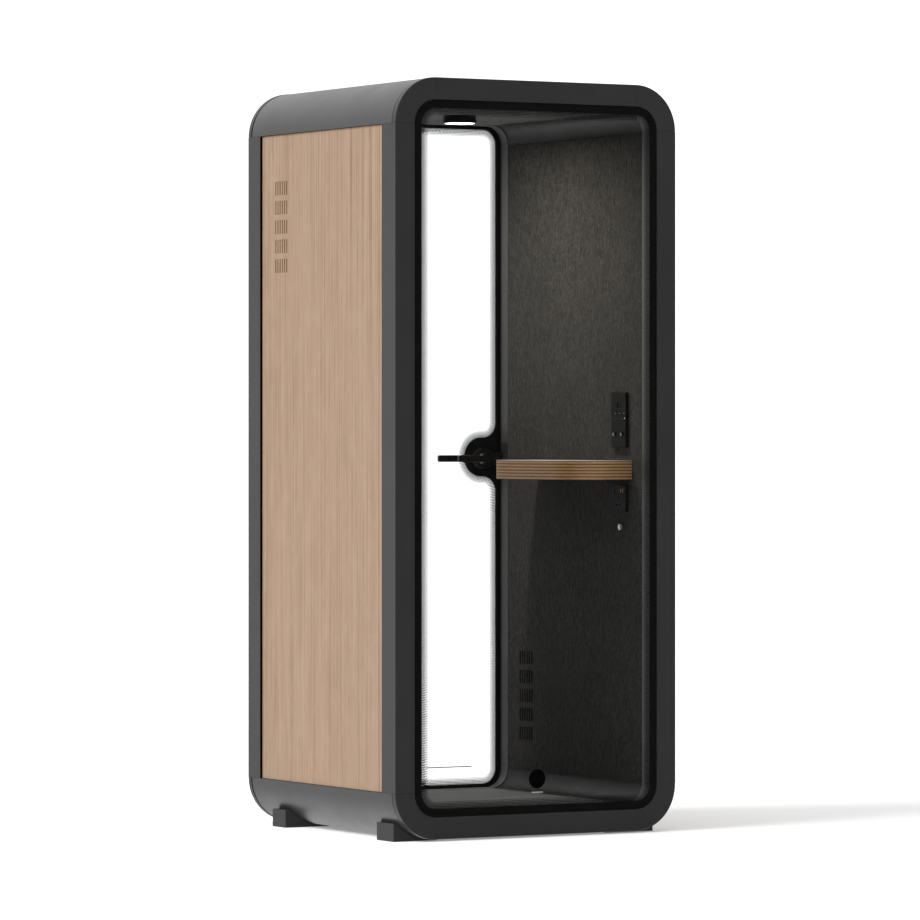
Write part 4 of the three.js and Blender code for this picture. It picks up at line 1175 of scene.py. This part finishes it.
def lock():
    """The case inside, the rosette outside, both levers, the bolt and its strike plate."""
    case_low, case_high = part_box("lock_case")
    back = DOOR_PANE[0].y - GAP
    step = case_low.y
    face = step + CASE_STEP
    rosette = turned("y", LOCK_AXIS, [
        (0, back), (33 * MM, back), (33 * MM, face + 2 * MM, 1.5 * MM),
        (31 * MM, face, 1.5 * MM), (23 * MM, face, 2 * MM), (0, face)])
    body = box("y", HANDLE.x, case_high.x, *around(HANDLE.z, CASE_HALF), face, back,
               3 * MM, 1.5 * MM)
    neck = turned("y", LOCK_AXIS, [(0, back - MM), (CASE_NECK, back - MM),
                                   (CASE_NECK, DOOR_PANE[1].y), (0, DOOR_PANE[1].y)])
    piece("lock_case_body", merged(rosette, body, neck), BLACK_METAL, "lock_case", "door")
    boss = turned("y", LOCK_AXIS, [
        (0, face + MM), (20 * MM, face + MM), (20 * MM, face, 1 * MM), (13 * MM, step, 3 * MM),
        (0, step)])
    piece("lock_case_boss", boss, POLISHED_BLACK, "lock_case", "door")

    low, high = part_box("outer_rosette")
    disc = turned("y", LOCK_AXIS, [
        (0, low.y), (26 * MM, low.y), (26 * MM, high.y - 1.5 * MM, 1 * MM),
        (24 * MM, high.y, 1 * MM), (0, high.y)])
    piece("outer_rosette_disc", disc, BLACK_METAL, "outer_rosette", "door")

    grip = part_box("inside_lever")[0].y
    lever("inside", step - GAP, step - 4 * MM, (grip, grip + LEVER_THICKNESS))
    grip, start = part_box("outside_lever")[1].y, high.y + GAP
    lever("outside", start, start + 4 * MM, (grip - LEVER_THICKNESS, grip))

    low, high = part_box("latch_bolt")
    bolt = rounded([
        (low.x, low.y), (high.x - 4 * MM, low.y, 1 * MM), (high.x, high.y - 6 * MM, 1.5 * MM),
        (high.x, high.y, 0.8 * MM), (low.x, high.y)])
    piece("latch_bolt_tongue", slab([bolt], "z", low.z, high.z, 0.4 * MM), STEEL, "latch_bolt",
          "latch")

    notch_y = low.y - 0.6 * MM
    bottom, top = around(HANDLE.z, STRIKE_NOTCH)
    low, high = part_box("strike_plate")
    keeper = rounded([
        (low.y, low.z, 3 * MM), (high.y, low.z), (high.y, bottom), (notch_y, bottom, 1 * MM),
        (notch_y, top, 1 * MM), (high.y, top), (high.y, high.z), (low.y, high.z, 3 * MM)])
    heads = [screw("x", ((low.y + notch_y) / 2, HANDLE.z + lift), low.x, 3 * MM, -1.0)
             for lift in (-35 * MM, 35 * MM)]
    piece("strike_keeper", merged(slab([keeper], "x", low.x, high.x, 0.3 * MM), *heads),
          BLACK_METAL, "strike_plate")


lock()

# ---- feet
FOOT_CLEARANCE = 0.7 * MM


def foot(end, side, sign):
    """A block whose top follows the curved underside of the booth."""
    node = f"{end}_{side}_foot"
    low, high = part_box(node)
    inner, outer = sorted((abs(low.x), abs(high.x)))
    reach = RADIUS - FOOT_CLEARANCE
    outer_turn = min((outer - SEAM_X) / reach, 1.0)
    flat_turn = math.sqrt(1 - ((SEAM_LOW - high.z) / reach) ** 2)
    end_turn = math.asin(min(outer_turn, flat_turn)) - QUARTER
    curve = arc((SEAM_X, SEAM_LOW), reach, -QUARTER, end_turn, 14)
    profile = [(inner, 0.0), (outer, 0.0)]
    if outer_turn > flat_turn:
        profile.append((outer, high.z))
    profile += curve[::-1] + [(inner, curve[0][1])]
    loop = [(sign * x, z) for x, z in profile][::sign]
    piece(node + "_block", slab([loop], "y", low.y, high.y, 1 * MM, 2), FOOT_RUBBER, node)


for end in ("front", "rear"):
    foot(end, "left", -1)
    foot(end, "right", 1)

# ---- CAD nodes shown as they are
for material, *names in (
        (CORE_FOAM, "left_wall_core", "right_wall_core", "roof_core"), (BOARD, "floor_core"),
        (BLACK_PLASTIC[0], "fan_housing", "fan_rotor"), (STEEL[0], "desk_bracket")):
    for name in names:
        materials = frame["nodes"][name].data.materials
        materials.clear()
        materials.append(material)

# ---- floor, light and camera
WHITE = (1.0, 1.0, 1.0)
FLOOR_REACH = 60.0
FLOOR_GLOW = 0.27
SKY_SEEN = 1.35
SKY_BASE = 0.05
# Each glow: axis, the direction's part along it where the glow starts and where it is full, and
# its strength. They come from behind the booth, from the left, from above and from below.
SKY_GLOWS = (("Y", -0.1, 0.9, 0.60), ("X", 0.2, -0.9, 0.20), ("Z", 0.05, 0.7, 0.85),
             ("Z", -0.2, -0.55, 0.95))
CAMERA_PLACE = (-8.3418, -14.5037, 1.2359)
CAMERA_AZIMUTH = 29.96
CAMERA_LENS = 207.8
CAMERA_SHIFT = -0.0279


def floor():
    """A large pale floor that catches the booth's shadow."""
    g = Graph("studio_floor")
    tone = g.mix(g.noise(0.8, 2.0), grey(0.62), grey(0.64))
    mesh = bpy.data.meshes.new("studio_floor")
    ends = around(0.0, FLOOR_REACH)
    mesh.from_pydata([(x, y, 0) for x, y in rectangle(*ends, *ends)], [], [(0, 1, 2, 3)])
    paint = g.principled(tone, 0.9, 0.0, Emission_Color=WHITE, Emission_Strength=FLOOR_GLOW)
    mesh.materials.append(paint)
    plane = placed("studio_floor", mesh)
    plane.visible_glossy = False


def studio_world():
    """White to the camera. As light it glows from behind, the left, above and below."""
    g = Graph("studio", "worlds")
    bpy.context.scene.world = g.owner
    direction = g.add("SeparateXYZ", {0: g.add("TexCoord").outputs["Generated"]}).outputs
    total = SKY_BASE
    for letter, low, high, strength in SKY_GLOWS:
        glow = g.add("MapRange", {"Value": direction[letter], "From Min": low, "From Max": high,
                                  "To Max": strength}, interpolation_type="SMOOTHSTEP")
        total = g.math("ADD", glow.outputs[0], total)
    light, seen = [g.add("Background", {"Color": (*WHITE, 1), "Strength": strength}).outputs[0]
                   for strength in (total, SKY_SEEN)]
    ray = g.add("LightPath").outputs["Is Camera Ray"]
    choice = g.add("MixShader", {0: ray, 1: light, 2: seen})
    g.add("OutputWorld", {"Surface": choice.outputs[0]})


def lamp(name, kind, place, towards, energy, **settings):
    """A light at a place, turned towards another and not mirrored by the glass."""
    data = bpy.data.lights.new(name, kind)
    data.energy = energy
    for key, value in settings.items():
        setattr(data, key, value)
    made = placed(name, data)
    made.location = place
    direction = Vector(towards) - Vector(place)
    made.rotation_euler = direction.to_track_quat("-Z", "Y").to_euler()
    made.visible_glossy = False


def lamps():
    """A broad sun from the left and above, and the downlight's own beam."""
    lamp("key", "SUN", (-5.0, 0.0, 5.0), (0.0, 0.0, 0.8), 4.0, angle=math.radians(35))
    low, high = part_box("lamp_diffuser")
    y = (low.y + high.y) / 2
    lamp("downlight_beam", "AREA", (0.0, y, low.z - 5 * MM), (0.0, y, 0.0), 14.0, shape="DISK",
         size=0.09, color=(1.0, 0.93, 0.83), spread=math.radians(170))


def camera():
    """A long lens at desk height, to the left of the front."""
    data = bpy.data.cameras.new("camera")
    data.sensor_width = 36.0
    data.lens = CAMERA_LENS
    data.shift_y = CAMERA_SHIFT
    data.clip_end = 200.0
    made = placed("camera", data)
    made.location = CAMERA_PLACE
    made.rotation_euler = (QUARTER, 0.0, -math.radians(CAMERA_AZIMUTH))
    bpy.context.scene.camera = made


floor()
studio_world()
lamps()
camera()
bpy.context.scene.view_settings.view_transform = "Standard"
